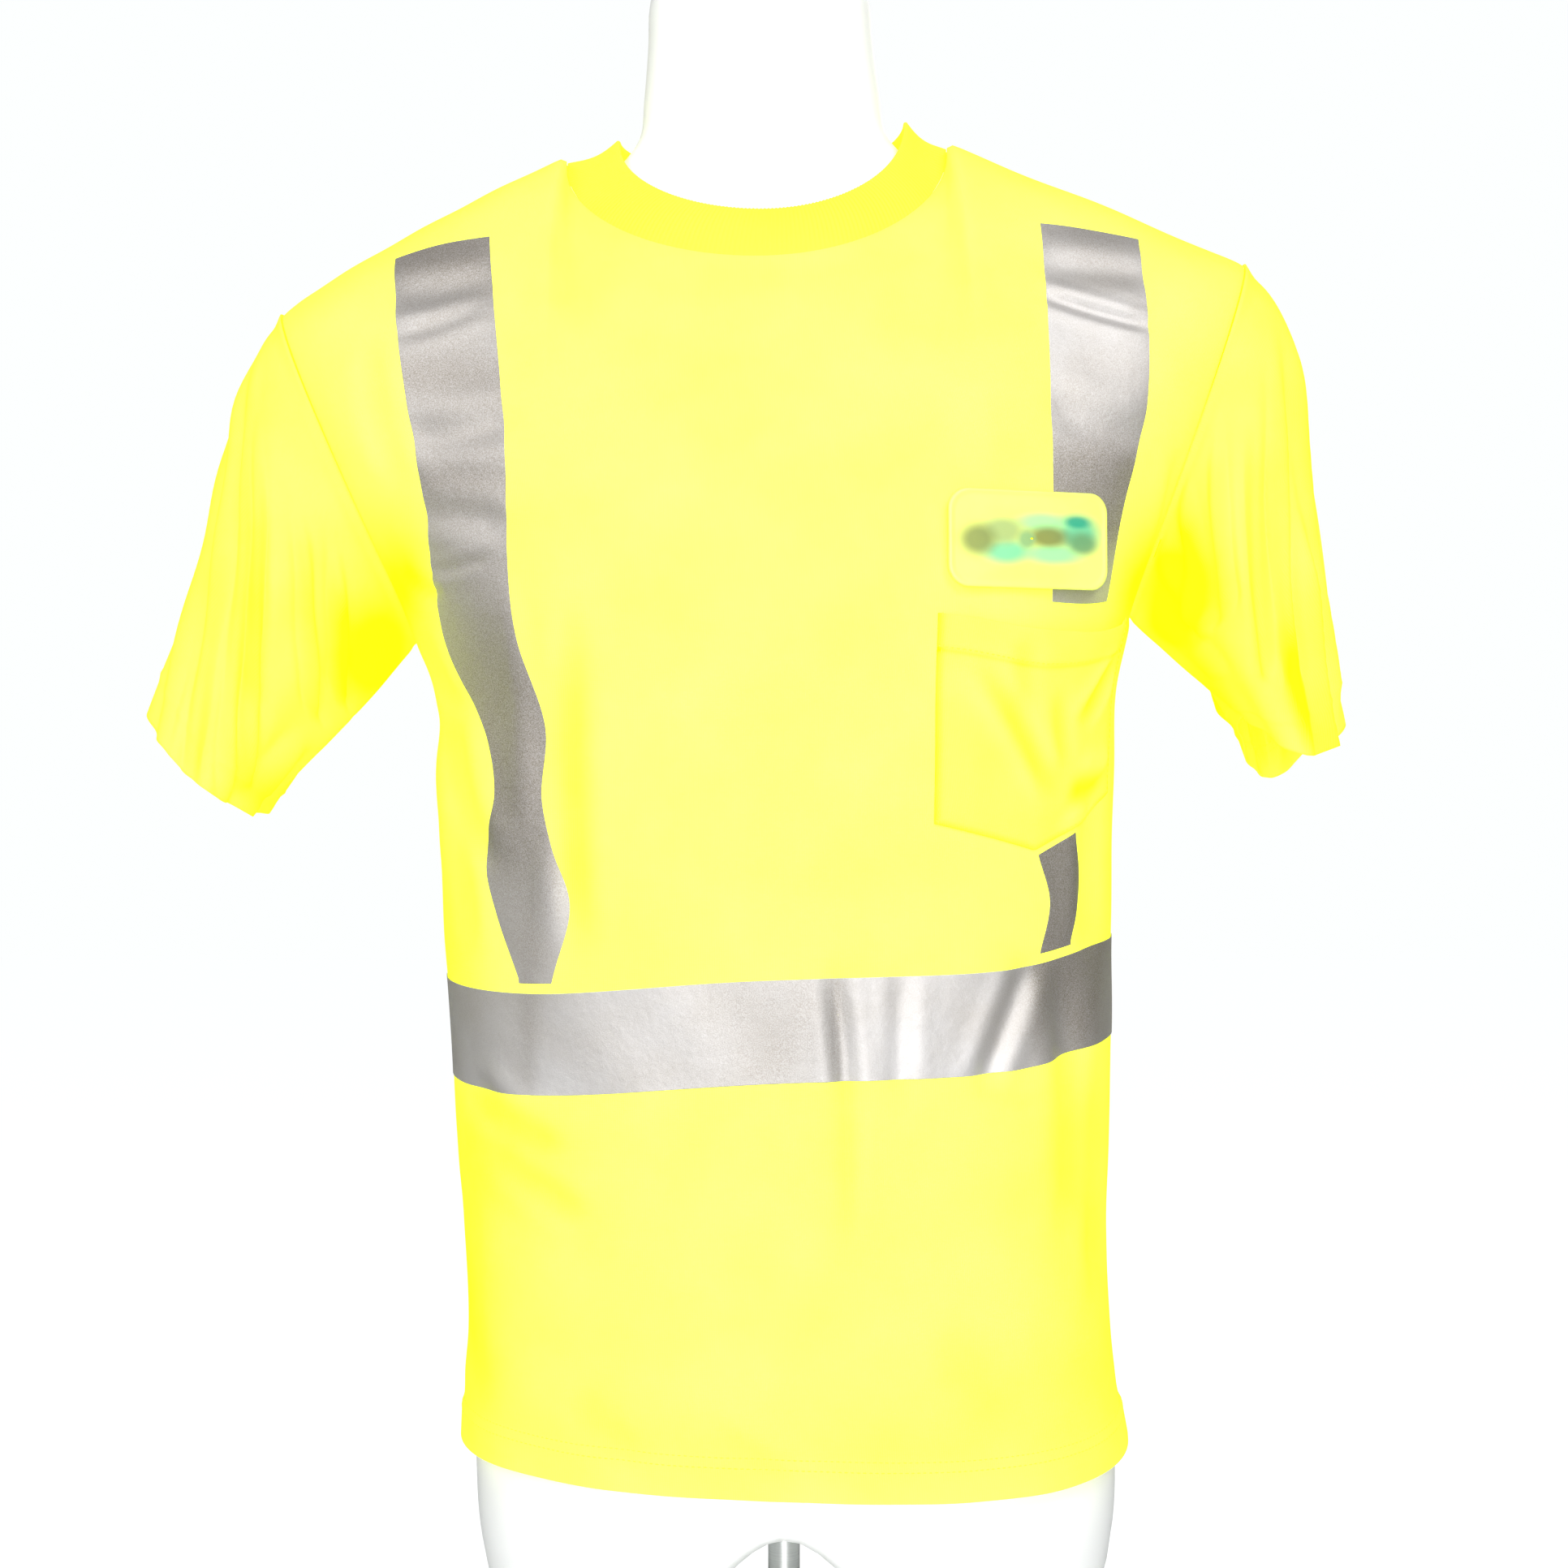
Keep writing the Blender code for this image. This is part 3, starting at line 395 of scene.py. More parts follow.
# Each oval of painted shade: middle (x, z), half width, half height, strength.
SOFT_SHADE = [(-0.200, 0.800, 0.022, 0.030, 0.90), (0.190, 0.800, 0.022, 0.030, 0.90),
              (-0.104, 0.690, 0.010, 0.060, 0.30), (-0.172, 0.620, 0.014, 0.060, 0.30),
              (-0.150, 0.515, 0.035, 0.030, 0.42), (0.150, 0.510, 0.030, 0.045, 0.28),
              (-0.160, 0.420, 0.030, 0.060, 0.38), (0.160, 0.400, 0.030, 0.060, 0.24),
              (0.028, 0.520, 0.010, 0.050, 0.12), (0.100, 0.400, 0.040, 0.020, 0.14),
              (-0.080, 0.380, 0.060, 0.018, 0.14), (0.040, 0.370, 0.070, 0.014, 0.12),
              (0.180, 0.700, 0.016, 0.060, 0.24), (-0.015, 0.955, 0.060, 0.014, 0.14)]


def even_places(count):
    """Places across a panel, with a few more close to each side seam where it dips."""
    near = 1 - np.array([0.003, 0.008, 0.014, 0.022])
    return np.unique(np.concatenate([np.linspace(-1, 1, count), near, -near]))


def edged(count):
    """Even shares from 0 to 1, with one more close to each end to keep an edge crisp."""
    return np.unique(np.concatenate([np.linspace(0, 1, count), [0.004, 0.996]]))


front_levels = levels_between(0, TOP_LEVEL, 0.0028)
front_places = np.tile(even_places(150), (len(front_levels), 1))
front_points = cloth(FRONT, front_levels, front_places)
print("front panel grid:", front_points.shape[:2])

# %% [markdown]
# ## Making a mesh from a grid
# Quads between neighbours turn a grid into a surface, and a UV map in metres lets a knit or a
# grain follow the cloth. A loop over vertices would be slow and hard to read, so the numbers go
# in as whole arrays.

# %% Grid to mesh


def arc_lengths(points, axis):
    """Running length along one direction of a grid, in metres, from zero."""
    steps = np.linalg.norm(np.diff(points, axis=axis), axis=-1)
    pad = [(1, 0) if k == axis else (0, 0) for k in range(2)]
    return np.cumsum(np.pad(steps, pad), axis=axis)


def grid_faces(rows, columns, ring):
    """Corner numbers of the quads between neighbouring points, wrapped round for a ring."""
    number = np.arange(rows * columns).reshape(rows, columns)
    if ring:
        number = np.concatenate([number, number[:, :1]], axis=1)
    corners = [number[:-1, :-1], number[:-1, 1:], number[1:, 1:], number[1:, :-1]]
    return np.stack(corners, axis=-1).reshape(-1, 4)


def mesh_object(name, points, faces, uv=None, look=None, painted_shade=None):
    """An object whose mesh has these points, faces, corner UVs and painted shade, shaded smooth."""
    mesh = bpy.data.meshes.new(name)
    sides = faces.shape[1]
    mesh.vertices.add(len(points))
    mesh.vertices.foreach_set("co", np.ascontiguousarray(points, dtype=np.float32).ravel())
    mesh.loops.add(faces.size)
    mesh.loops.foreach_set("vertex_index", faces.ravel().astype(np.int32))
    mesh.polygons.add(len(faces))
    mesh.polygons.foreach_set("loop_start", np.arange(0, faces.size, sides, dtype=np.int32))
    if uv is not None:
        layer = mesh.uv_layers.new(name="UVMap")
        layer.data.foreach_set("uv", uv.astype(np.float32).ravel())
    if painted_shade is not None:
        # Painted shade, one value a point, which the materials read to darken their colour.
        layer = mesh.attributes.new("painted_shade", "FLOAT", "POINT")
        layer.data.foreach_set("value", painted_shade.astype(np.float32).ravel())
    mesh.update(calc_edges=True)
    mesh.validate()
    mesh.shade_smooth()
    if look:
        mesh.materials.append(look)
    made = bpy.data.objects.new(name, mesh)
    bpy.context.scene.collection.objects.link(made)
    return made


def surface(name, points, outward, look, ring=False, painted_shade=None):
    """A grid as a mesh. Outward is 1 where columns then rows turn anticlockwise from outside."""
    rows, columns = points.shape[:2]
    wrapped = np.concatenate([points, points[:, :1]], axis=1) if ring else points
    u, v = arc_lengths(wrapped, 1), arc_lengths(wrapped, 0)
    u = u - u[:, columns // 2][:, None]
    v = np.broadcast_to(v.mean(axis=1, keepdims=True), u.shape)
    faces = grid_faces(rows, columns, ring)
    wide = columns + (1 if ring else 0)
    corner = grid_faces(rows, wide, False)
    if outward < 0:
        faces, corner = faces[:, ::-1], corner[:, ::-1]
    uv = np.stack([u.ravel()[corner], v.ravel()[corner]], axis=-1).reshape(-1, 2)
    return mesh_object(name, points.reshape(-1, 3), faces, uv, look, painted_shade)


def thicken(piece, thickness):
    """Gives the cloth its thickness on the inner side, so that its outer face stays put."""
    solid = piece.modifiers.new("cloth thickness", "SOLIDIFY")
    solid.thickness = thickness
    solid.offset = -1.0
    solid.use_even_offset = False
    return piece


def settle(piece, node):
    """Hangs a piece on the one body and hides the CAD part of its node, which it stands in for."""
    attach(piece, "root")
    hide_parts(node)


print("mesh helpers ready")

# %% [markdown]
# ## Shared surface effects
# Several finishes need the same things: the loops of a knit, the tiny speckle of a film, a
# slow change of tone. Each is a node group with named inputs, so that a material says only how
# large and how strong. Groups give masks and heights, and the shader stays in the material.

# %% Node group helpers


def new_group(name, inputs, outputs):
    """A shader node group with float or vector inputs and named outputs."""
    group = bpy.data.node_groups.new(name, "ShaderNodeTree")
    for label, kind, default in inputs:
        socket = group.interface.new_socket(name=label, in_out="INPUT", socket_type=kind)
        if default is not None:
            socket.default_value = default
    for label, kind in outputs:
        group.interface.new_socket(name=label, in_out="OUTPUT", socket_type=kind)
    return group, group.nodes.new("NodeGroupInput"), group.nodes.new("NodeGroupOutput")


def math_node(tree, operation, first, second=None):
    """A Math node whose inputs are sockets or plain numbers. Returns its output socket."""
    node = tree.nodes.new("ShaderNodeMath")
    node.operation = operation
    for slot, value in enumerate((first, second)):
        if value is None:
            continue
        if isinstance(value, (int, float)):
            node.inputs[slot].default_value = value
        else:
            tree.links.new(value, node.inputs[slot])
    return node.outputs[0]


FLOAT, VECTOR = "NodeSocketFloat", "NodeSocketVector"

# %% [markdown]
# A jersey face shows columns of small V-shaped loops. Modelling a million loops is wasteful,
# so the height is the product of two waves: one across the columns, and one along them that
# is pushed up or down by the place within the column, which draws the V.

# %% Knit group


def knit_group():
    """Height = |sin(pi u / wale)| * (0.6 + 0.4 sin(2 pi (v / course + slant * zigzag of u)))."""
    group, inside, outside = new_group(
        "knit loops", [("Vector", VECTOR, None), ("Wale", FLOAT, 0.0011), ("Course", FLOAT, 0.0009)],
        [("Height", FLOAT), ("Gap", FLOAT)])
    split = group.nodes.new("ShaderNodeSeparateXYZ")
    group.links.new(inside.outputs["Vector"], split.inputs[0])
    across = math_node(group, "DIVIDE", split.outputs["X"], inside.outputs["Wale"])
    along = math_node(group, "DIVIDE", split.outputs["Y"], inside.outputs["Course"])
    column = math_node(group, "SINE", math_node(group, "MULTIPLY", across, math.pi))
    column = math_node(group, "ABSOLUTE", column)
    zigzag = math_node(group, "PINGPONG", across, 0.5)
    pushed = math_node(group, "ADD", along, zigzag)
    loops = math_node(group, "SINE", math_node(group, "MULTIPLY", pushed, 2 * math.pi))
    loops = math_node(group, "MULTIPLY_ADD", loops, 0.4)
    loops.node.inputs[2].default_value = 0.6
    height = math_node(group, "MULTIPLY", column, loops)
    group.links.new(height, outside.inputs["Height"])
    group.links.new(math_node(group, "SUBTRACT", 1.0, column), outside.inputs["Gap"])
    return group


KNIT = knit_group()
print("group:", KNIT.name)

# %% [markdown]
# Cloth is never one flat tone: dye, light and handling leave slow patches and fine specks. One
# group gives both from two sizes of noise.

# %% Tone group


def tone_group():
    """Patches: noise of a few waves at one size. Specks: a finer noise, narrowed to its peaks."""
    group, inside, outside = new_group(
        "tone", [("Vector", VECTOR, None), ("Patch", FLOAT, 12.0), ("Speck", FLOAT, 1800.0)],
        [("Patches", FLOAT), ("Specks", FLOAT)])
    for label, size, detail in (("Patches", "Patch", 4.0), ("Specks", "Speck", 1.0)):
        noise = group.nodes.new("ShaderNodeTexNoise")
        noise.inputs["Detail"].default_value = detail
        group.links.new(inside.outputs["Vector"], noise.inputs["Vector"])
        group.links.new(inside.outputs[size], noise.inputs["Scale"])
        spread = group.nodes.new("ShaderNodeMapRange")
        spread.inputs["From Min"].default_value = 0.3
        spread.inputs["From Max"].default_value = 0.7
        group.links.new(noise.outputs[0], spread.inputs["Value"])
        group.links.new(spread.outputs["Result"], outside.inputs[label])
    return group


TONE = tone_group()
print("group:", TONE.name)

# %% [markdown]
# ## Material helpers
# A material here is a Principled shader with constants on its own sockets, and links only for
# what changes over the surface: colour from a mix of two tones, and a bump from a height.

# %% Material helpers


def new_material(name, **sockets):
    """A material whose shader has these constants, with spaces written as underscores."""
    made = bpy.data.materials.new(name)
    made.use_nodes = True
    shader = made.node_tree.nodes["Principled BSDF"]
    for label, value in sockets.items():
        shader.inputs[label.replace("_", " ")].default_value = value
    return made, made.node_tree, shader


def place_group(tree, group, vector, **values):
    """A copy of a group in a material, fed with a vector and its own values."""
    node = tree.nodes.new("ShaderNodeGroup")
    node.node_tree = group
    tree.links.new(vector, node.inputs["Vector"])
    for label, value in values.items():
        node.inputs[label].default_value = value
    return node


def mix_colours(tree, factor, first, second):
    """A colour between two, by a factor socket. The colours are sockets or RGB tuples."""
    mix = tree.nodes.new("ShaderNodeMix")
    mix.data_type = "RGBA"
    tree.links.new(factor, mix.inputs["Factor"])
    for slot, colour in ((6, first), (7, second)):
        if isinstance(colour, tuple):
            mix.inputs[slot].default_value = (*colour, 1.0)
        else:
            tree.links.new(colour, mix.inputs[slot])
    return mix.outputs[2]


def bump(tree, shader, height, distance, strength=1.0, under=None):
    """A bump of a real height in metres on the shader's normal, on top of another bump if given."""
    node = tree.nodes.new("ShaderNodeBump")
    node.inputs["Distance"].default_value = distance
    node.inputs["Strength"].default_value = strength
    tree.links.new(height, node.inputs["Height"])
    if under:
        tree.links.new(under, node.inputs["Normal"])
    tree.links.new(node.outputs[0], shader.inputs["Normal"])
    return node.outputs[0]


def coordinates(tree, kind):
    """The UV or Object coordinates of the piece itself."""
    node = tree.nodes.new("ShaderNodeTexCoord")
    return node.outputs[kind]


print("material helpers ready")

# %% [markdown]
# ## Fluorescent jersey and rib
# Fluorescent dye turns violet light into yellow-green, so the cloth looks brighter than white
# paper in red and green and stays low in blue. A strong yellow with a painted glow of its own,
# the same under any lamp, stands in for that: shade then shows mostly as a deeper yellow. That
# deeper yellow is partly real shading and partly painted shade, mixed into the colour in the
# folds, under the arms and between the knit columns. The rib is the same yarn, denser.

# %% Jersey and rib materials
JERSEY_LIGHT, JERSEY_DEEP_AND_SHADE = (0.88, 0.96, 0.180), (0.78, 0.96, 0.004)
RIB_LIGHT, RIB_DEEP_AND_SHADE = (0.88, 0.92, 0.075), (0.84, 0.88, 0.020)
# The glow is painted light: an emission that shines the same under any lamp, standing in for the dye's
# fluorescence.
GLOW_COLOUR = (1.0, 1.0, 0.004, 1.0)


def knit_material(name, light, deep_and_shade, wale, course, depth, glow):
    """Yellow yarn: two tones by slow patches, painted shade between the columns and where the shade
    attribute says, knit as a bump.
    """
    made, tree, shader = new_material(
        name, Roughness=1.0, Specular_IOR_Level=0.05,
        Emission_Color=GLOW_COLOUR, Emission_Strength=glow)
    tone = place_group(tree, TONE, coordinates(tree, "Object"), Patch=17.0, Speck=900.0)
    knit = place_group(tree, KNIT, coordinates(tree, "UV"), Wale=wale, Course=course)
    # Painted shade: a per-point shade attribute and the gaps between the knit columns pull the yellow
    # towards the deep tone; the slow patches are the yarn's own tone.
    painted_shade = tree.nodes.new("ShaderNodeAttribute")
    painted_shade.attribute_name = "painted_shade"
    patch_tone_and_shade = math_node(tree, "MULTIPLY_ADD", tone.outputs["Patches"], 0.22)
    tree.links.new(painted_shade.outputs["Fac"], patch_tone_and_shade.node.inputs[2])
    knit_tone_and_shade = math_node(tree, "MULTIPLY_ADD", knit.outputs["Gap"], 0.10)
    tree.links.new(patch_tone_and_shade, knit_tone_and_shade.node.inputs[2])
    knit_tone_and_shade.node.use_clamp = True
    tree.links.new(mix_colours(tree, knit_tone_and_shade, light, deep_and_shade), shader.inputs["Base Color"])
    speck = math_node(tree, "MULTIPLY_ADD", tone.outputs["Specks"], 0.4)
    tree.links.new(knit.outputs["Height"], speck.node.inputs[2])
    bump(tree, shader, speck, depth)
    return made


JERSEY = knit_material("hi_vis_jersey", JERSEY_LIGHT, JERSEY_DEEP_AND_SHADE, 0.00115, 0.00095, 0.00010, 0.62)
RIB = knit_material("rib_knit", RIB_LIGHT, RIB_DEEP_AND_SHADE, 0.00100, 0.00085, 0.00012, 0.60)
# The thread has a faint painted glow, like the jersey's.
THREAD, _, _ = new_material("yellow_thread", Base_Color=(0.80, 0.86, 0.06, 1.0), Roughness=0.7,
                            Emission_Color=GLOW_COLOUR, Emission_Strength=0.12)
print("materials:", JERSEY.name, RIB.name, THREAD.name)

# %% [markdown]
# ## Reflective tape
# The tape is a film full of tiny glass beads over aluminium. Lit from the side it is a warm
# grey, and where it faces the light it turns bright silver. A half-metallic shader with
# medium roughness does part of that, with the beads as specks and faint crackle as bump, and
# painted shade darkens the film to a brown grey where it turns away from the lights.

# %% Tape material


def tape_material():
    """Warm grey film: two greys by patches and specks, darkened by painted shade, half metallic, with a
    grainy bump.
    """
    made, tree, shader = new_material("reflective_tape", Metallic=0.50, Roughness=0.58,
                                      Specular_IOR_Level=0.6)
    where = coordinates(tree, "Object")
    tone = place_group(tree, TONE, where, Patch=30.0, Speck=1900.0)
    film_grey_and_shade = mix_colours(tree, tone.outputs["Patches"], (0.460, 0.432, 0.405), (0.540, 0.525, 0.520))
    painted_shade = tree.nodes.new("ShaderNodeAttribute")
    painted_shade.attribute_name = "painted_shade"
    # Painted shade: where the per-point shade attribute says, the film turns a dark brown grey.
    film_grey_and_shade = mix_colours(tree, painted_shade.outputs["Fac"], film_grey_and_shade, (0.195, 0.168, 0.134))
    grain = math_node(tree, "MULTIPLY", tone.outputs["Specks"], 0.42)
    tree.links.new(mix_colours(tree, grain, film_grey_and_shade, (0.60, 0.59, 0.60)), shader.inputs["Base Color"])
    crackle = tree.nodes.new("ShaderNodeTexNoise")
    crackle.inputs["Scale"].default_value = 170.0
    crackle.inputs["Detail"].default_value = 5.0
    tree.links.new(where, crackle.inputs["Vector"])
    coarse = bump(tree, shader, crackle.outputs[0], 0.0006, 0.5)
    bump(tree, shader, tone.outputs["Specks"], 0.00004, 0.6, coarse)
    return made


TAPE = tape_material()
print("material:", TAPE.name)

# %% [markdown]
# ## Front and back panels
# Each panel is cut as one piece with side seams, armholes, shoulder seams and a neckline. It is
# the fine grid of the cloth function. The outer face is made first, and the thickness is put
# inside it, so that the size of the shirt doesn't change.

# %% Panels
JERSEY_THICKNESS = 0.0009
front_cloth = thicken(surface("front_cloth", front_points, 1, JERSEY,
                              painted_shade=painted_cloth_shade(front_points, FRONT)), JERSEY_THICKNESS)
back_levels = levels_between(0, TOP_LEVEL, 0.0032)
back_places = np.tile(even_places(130), (len(back_levels), 1))
back_points = cloth(BACK, back_levels, back_places)
back_cloth = thicken(surface("back_cloth", back_points, -1, JERSEY,
                             painted_shade=painted_cloth_shade(back_points, BACK)), JERSEY_THICKNESS)
for piece, node in ((front_cloth, "front_panel"), (back_cloth, "back_panel")):
    settle(piece, node)
    print(piece.name, "quads:", len(piece.data.polygons))

# %% [markdown]
# ## Sleeves
# A short sleeve is a tube set into the armhole. With no arm in it, it hangs from the shoulder
# and falls into slanting folds, deepest under the arm. Its first ring is the armhole edge of the
# two panels, its last is the cuff, and the rings between are blends of the two.

# %% Sleeve sizes
# Cuff: outer and inner corner (x, z), half depth, hang in front and behind, swing of the front.
CUFF = {-1: ((-0.3345, 0.7425), (-0.280, 0.684), 0.075, 0.004, 0.006, 0.0),
        1: ((0.2970, 0.738), (0.2453, 0.735), 0.0820, 0.022, 0.033, 0.005)}
CAP_RISE = {-1: [(0, 0), (0.10, 0.0055), (0.21, 0.0080), (0.36, 0.0035), (0.52, 0), (1, 0)],
            1: [(0, 0), (0.10, 0.0125), (0.22, 0.0175), (0.40, 0.0120), (0.65, 0.0070),
                (0.85, 0.0025), (1, 0)]}
CAP_OUT, CAP_UP = 0.94, 0.26
AROUND, DOWN = 216, 96
CUFF_FOLD = 0.020
SLEEVE_LENGTH = 0.20
# Each fold: turn and share down where it starts and ends, half width in turns, depth, rolls.
SLEEVE_FOLDS = {
    -1: [(0.085, 0.10, 0.375, 1.00, 0.015, 0.0046, 0.6), (0.130, 0.16, 0.330, 0.70, 0.013, 0.0044, 0.6),
         (0.045, 0.14, 0.290, 1.02, 0.016, 0.0040, 0.6), (0.170, 0.30, 0.410, 0.95, 0.017, 0.0052, 0.5),
         (0.010, 0.22, 0.190, 1.02, 0.018, 0.0030, 0.5), (0.260, 0.20, 0.430, 0.56, 0.016, 0.0056, 0.5),
         (0.330, 0.14, 0.455, 0.44, 0.016, 0.0060, 0.5), (0.445, 0.62, 0.425, 1.05, 0.018, 0.0050, 0.5),
         (0.960, 0.15, 0.880, 1.00, 0.022, 0.0036, 0.4), (0.900, 0.10, 0.780, 0.95, 0.018, 0.0044, 0.5),
         (0.850, 0.15, 0.690, 1.00, 0.020, 0.0054, 0.5), (0.760, 0.25, 0.610, 0.95, 0.022, 0.0064, 0.5)],
    1: [(0.115, 0.12, 0.235, 0.80, 0.015, 0.0048, 0.6), (0.175, 0.16, 0.300, 0.75, 0.015, 0.0050, 0.6),
        (0.130, 0.50, 0.205, 1.05, 0.017, 0.0080, 0.5), (0.250, 0.08, 0.340, 0.50, 0.016, 0.0046, 0.6),
        (0.060, 0.16, 0.130, 0.95, 0.018, 0.0038, 0.5), (0.330, 0.04, 0.395, 0.42, 0.018, 0.0062, 0.5),
        (0.400, 0.02, 0.400, 0.50, 0.018, 0.0062, 0.5), (0.470, 0.12, 0.430, 0.70, 0.022, 0.0040, 0.3),
        (0.950, 0.15, 0.900, 1.00, 0.022, 0.0036, 0.4), (0.880, 0.08, 0.800, 0.95, 0.018, 0.0048, 0.5),
        (0.810, 0.15, 0.720, 1.00, 0.020, 0.0056, 0.5), (0.720, 0.20, 0.640, 0.85, 0.024, 0.0062, 0.4)],
}
# Painted shade on the sleeves: a darker tone over the whole sleeve, more along each fold, and the ovals
# below.
SLEEVE_BASE_SHADE, SLEEVE_SHADE = 0.17, 0.36
# Ovals of painted shade under the arm: turn, share down, half width, half height, strength.
ARM_SHADE = {-1: [(0.46, 0.20, 0.06, 0.20, 1.00), (0.39, 0.28, 0.04, 0.14, 0.25),
                  (0.15, 0.30, 0.04, 0.20, 0.12), (0.42, 0.90, 0.05, 0.10, 0.30),
                  (0.64, 0.50, 0.08, 0.40, 0.50)],
             1: [(0.44, 0.22, 0.06, 0.22, 0.80), (0.36, 0.30, 0.05, 0.25, 0.40),
                 (0.235, 0.86, 0.03, 0.20, 0.75), (0.48, 0.70, 0.06, 0.25, 0.55),
                 (0.62, 0.50, 0.08, 0.40, 0.60)]}
print("folds in a sleeve:", [len(folds) for folds in SLEEVE_FOLDS.values()])

# %% Sleeve shape


def resampled(path, count):
    """A closed path at an even spacing: running length, then each coordinate read off it."""
    closed = np.concatenate([path, path[:1]])
    run = np.concatenate([[0], np.cumsum(np.linalg.norm(np.diff(closed, axis=0), axis=1))])
    at = np.linspace(0, run[-1], count, endpoint=False)
    return np.stack([np.interp(at, run, closed[:, k]) for k in range(3)], axis=-1)


def armhole(hand):
    """The armhole loop: down the front panel's edge from the shoulder tip, and up the back's."""
    rises = np.linspace(0, 1, 121)
    edge = np.full(1, float(hand))
    ahead, behind = (np.array([chest_points(edge, rise, side)[0] for rise in rises])
                     for side in (FRONT, BACK))
    return resampled(np.concatenate([ahead[::-1], behind[1:-1]]), AROUND)


def sleeve_smooth(hand, down):
    """Rings from armhole to cuff: straight blends, rounded out over the top of the arm."""
    hole = armhole(hand)
    turn = np.arange(AROUND) / AROUND * 2 * math.pi
    (outer_x, outer_z), (inner_x, inner_z), half_depth, front_drop, back_drop, skew = CUFF[hand]
    middle = np.array([(outer_x + inner_x) / 2, 0, (outer_z + inner_z) / 2])
    arm = np.array([(outer_x - inner_x) / 2, 0, (outer_z - inner_z) / 2])
    cosine, sine = np.cos(turn)[:, None], np.sin(turn)[:, None]
    drop = np.where(sine > 0, front_drop, back_drop) * sine ** 2
    cuff = middle + arm * cosine + np.array([-skew, -half_depth, 0]) * sine
    cuff = cuff - np.array([0, 0, 1]) * drop
    share = down[:, None, None]
    swell = curve(CAP_RISE[hand], share) * np.clip(cosine, 0, 1) ** 1.5
    return hole + (cuff - hole) * share + swell * np.array([hand * CAP_OUT, 0, CAP_UP])


def ring_normals(points):
    """Normals of a grid whose rows close on themselves."""
    wrapped = np.concatenate([points[:, -2:], points, points[:, :2]], axis=1)
    return normals_of(wrapped)[:, 2:-2]


def sleeve_cloth(hand, down):
    """The hanging sleeve: smooth rings moved along their normals by folds, hem and seam dip; and its
    painted shade.
    """
    smooth = sleeve_smooth(hand, down)
    normal = ring_normals(smooth) * -hand
    turn = (np.arange(AROUND) / AROUND)[None, :]
    share = down[:, None]
    height = np.zeros((len(down), AROUND))
    # Painted shade: a darker tone all over, then more along the folds and under the arm.
    painted_shade = np.full((len(down), AROUND), SLEEVE_BASE_SHADE)
    for t0, d0, t1, d1, half_width, depth, roll in SLEEVE_FOLDS[hand]:
        along = (share - d0) / (d1 - d0)
        middle = t0 + (t1 - t0) * np.clip(along, -0.2, 1.2)
        off = ((turn - middle + 0.5) % 1.0 - 0.5) / half_width
        ends = ease(along / 0.4 + 0.15) * ease((1.05 - along) / 0.15)
        height += depth * fold_profile(off, roll) * ends
        painted_shade += SLEEVE_SHADE * np.clip(depth / 0.006, 0.4, 1) * np.exp(-(off * 1.1) ** 2) * ends
    for at_turn, at_down, wide, tall, strength in ARM_SHADE[hand]:
        near = ((turn - at_turn) / wide) ** 2 + ((share - at_down) / tall) ** 2
        painted_shade += strength * np.exp(-near)
    height += 0.0011 * np.sin(2 * math.pi * 9 * turn + 5 * share) * ease(share / 0.3)
    height *= ease(share / 0.07)
    height -= SEAM_DIP * np.exp(-(share * SLEEVE_LENGTH / SEAM_REACH) ** 2)
    height += 0.0007 * np.exp(-((share * SLEEVE_LENGTH - 0.007) / 0.004) ** 2)
    to_cuff = (1 - share) * SLEEVE_LENGTH
    height += 0.0005 * (1 - ease((to_cuff - CUFF_FOLD + 0.001) / 0.002))
    height -= 0.0006 * np.exp(-((to_cuff - CUFF_FOLD) / 0.0016) ** 2)
    return smooth + normal * height[..., None], np.clip(painted_shade, 0, 1)


down = np.unique(np.concatenate([np.linspace(0, 1, DOWN), [0.012, 0.022, 0.034, 0.045]]))
sleeves = {}
for hand, name in ((-1, "right"), (1, "left")):
    points, painted_shade = sleeve_cloth(hand, down)
    piece = thicken(surface(f"sleeve_{name}_cloth", points, -hand, JERSEY, ring=True, painted_shade=painted_shade),
                    JERSEY_THICKNESS)
    settle(piece, f"sleeve_{name}")
    sleeves[hand] = (piece, points)
    print(piece.name, "lowest point:", round(float(points[..., 2].min()), 4))

# %% [markdown]
# ## Neck rib
# The rib is a strip of ribbed knit, folded double and stretched a little into the neckline, so
# it stands up and leans in. Its cross-section is a flat loop: up the outside, over the rounded
# free edge and down the inside. Carrying that loop round the neck and pressing the ribs into it
# gives a real edge to look at, which a flat strip with a bump wouldn't.

# %% Neck rib
RIB_TOP_CENTRE, RIB_TOP_HALF = -0.0118, 0.0775
RIB_TOP_SIDE = {-1: 1.0445, 1: 1.0545}
RIB_TOP_LOW = {FRONT: 0.992, BACK: 1.042}
RIB_TOP_DEPTH = {FRONT: 0.073, BACK: 0.071}
RIB_COUNT, POINTS_PER_RIB, RIB_HEIGHT = 250, 6, 0.00028
RIB_THICKNESS, RIB_CROWN, RIB_WIDTH = 0.0022, 0.0024, 0.026


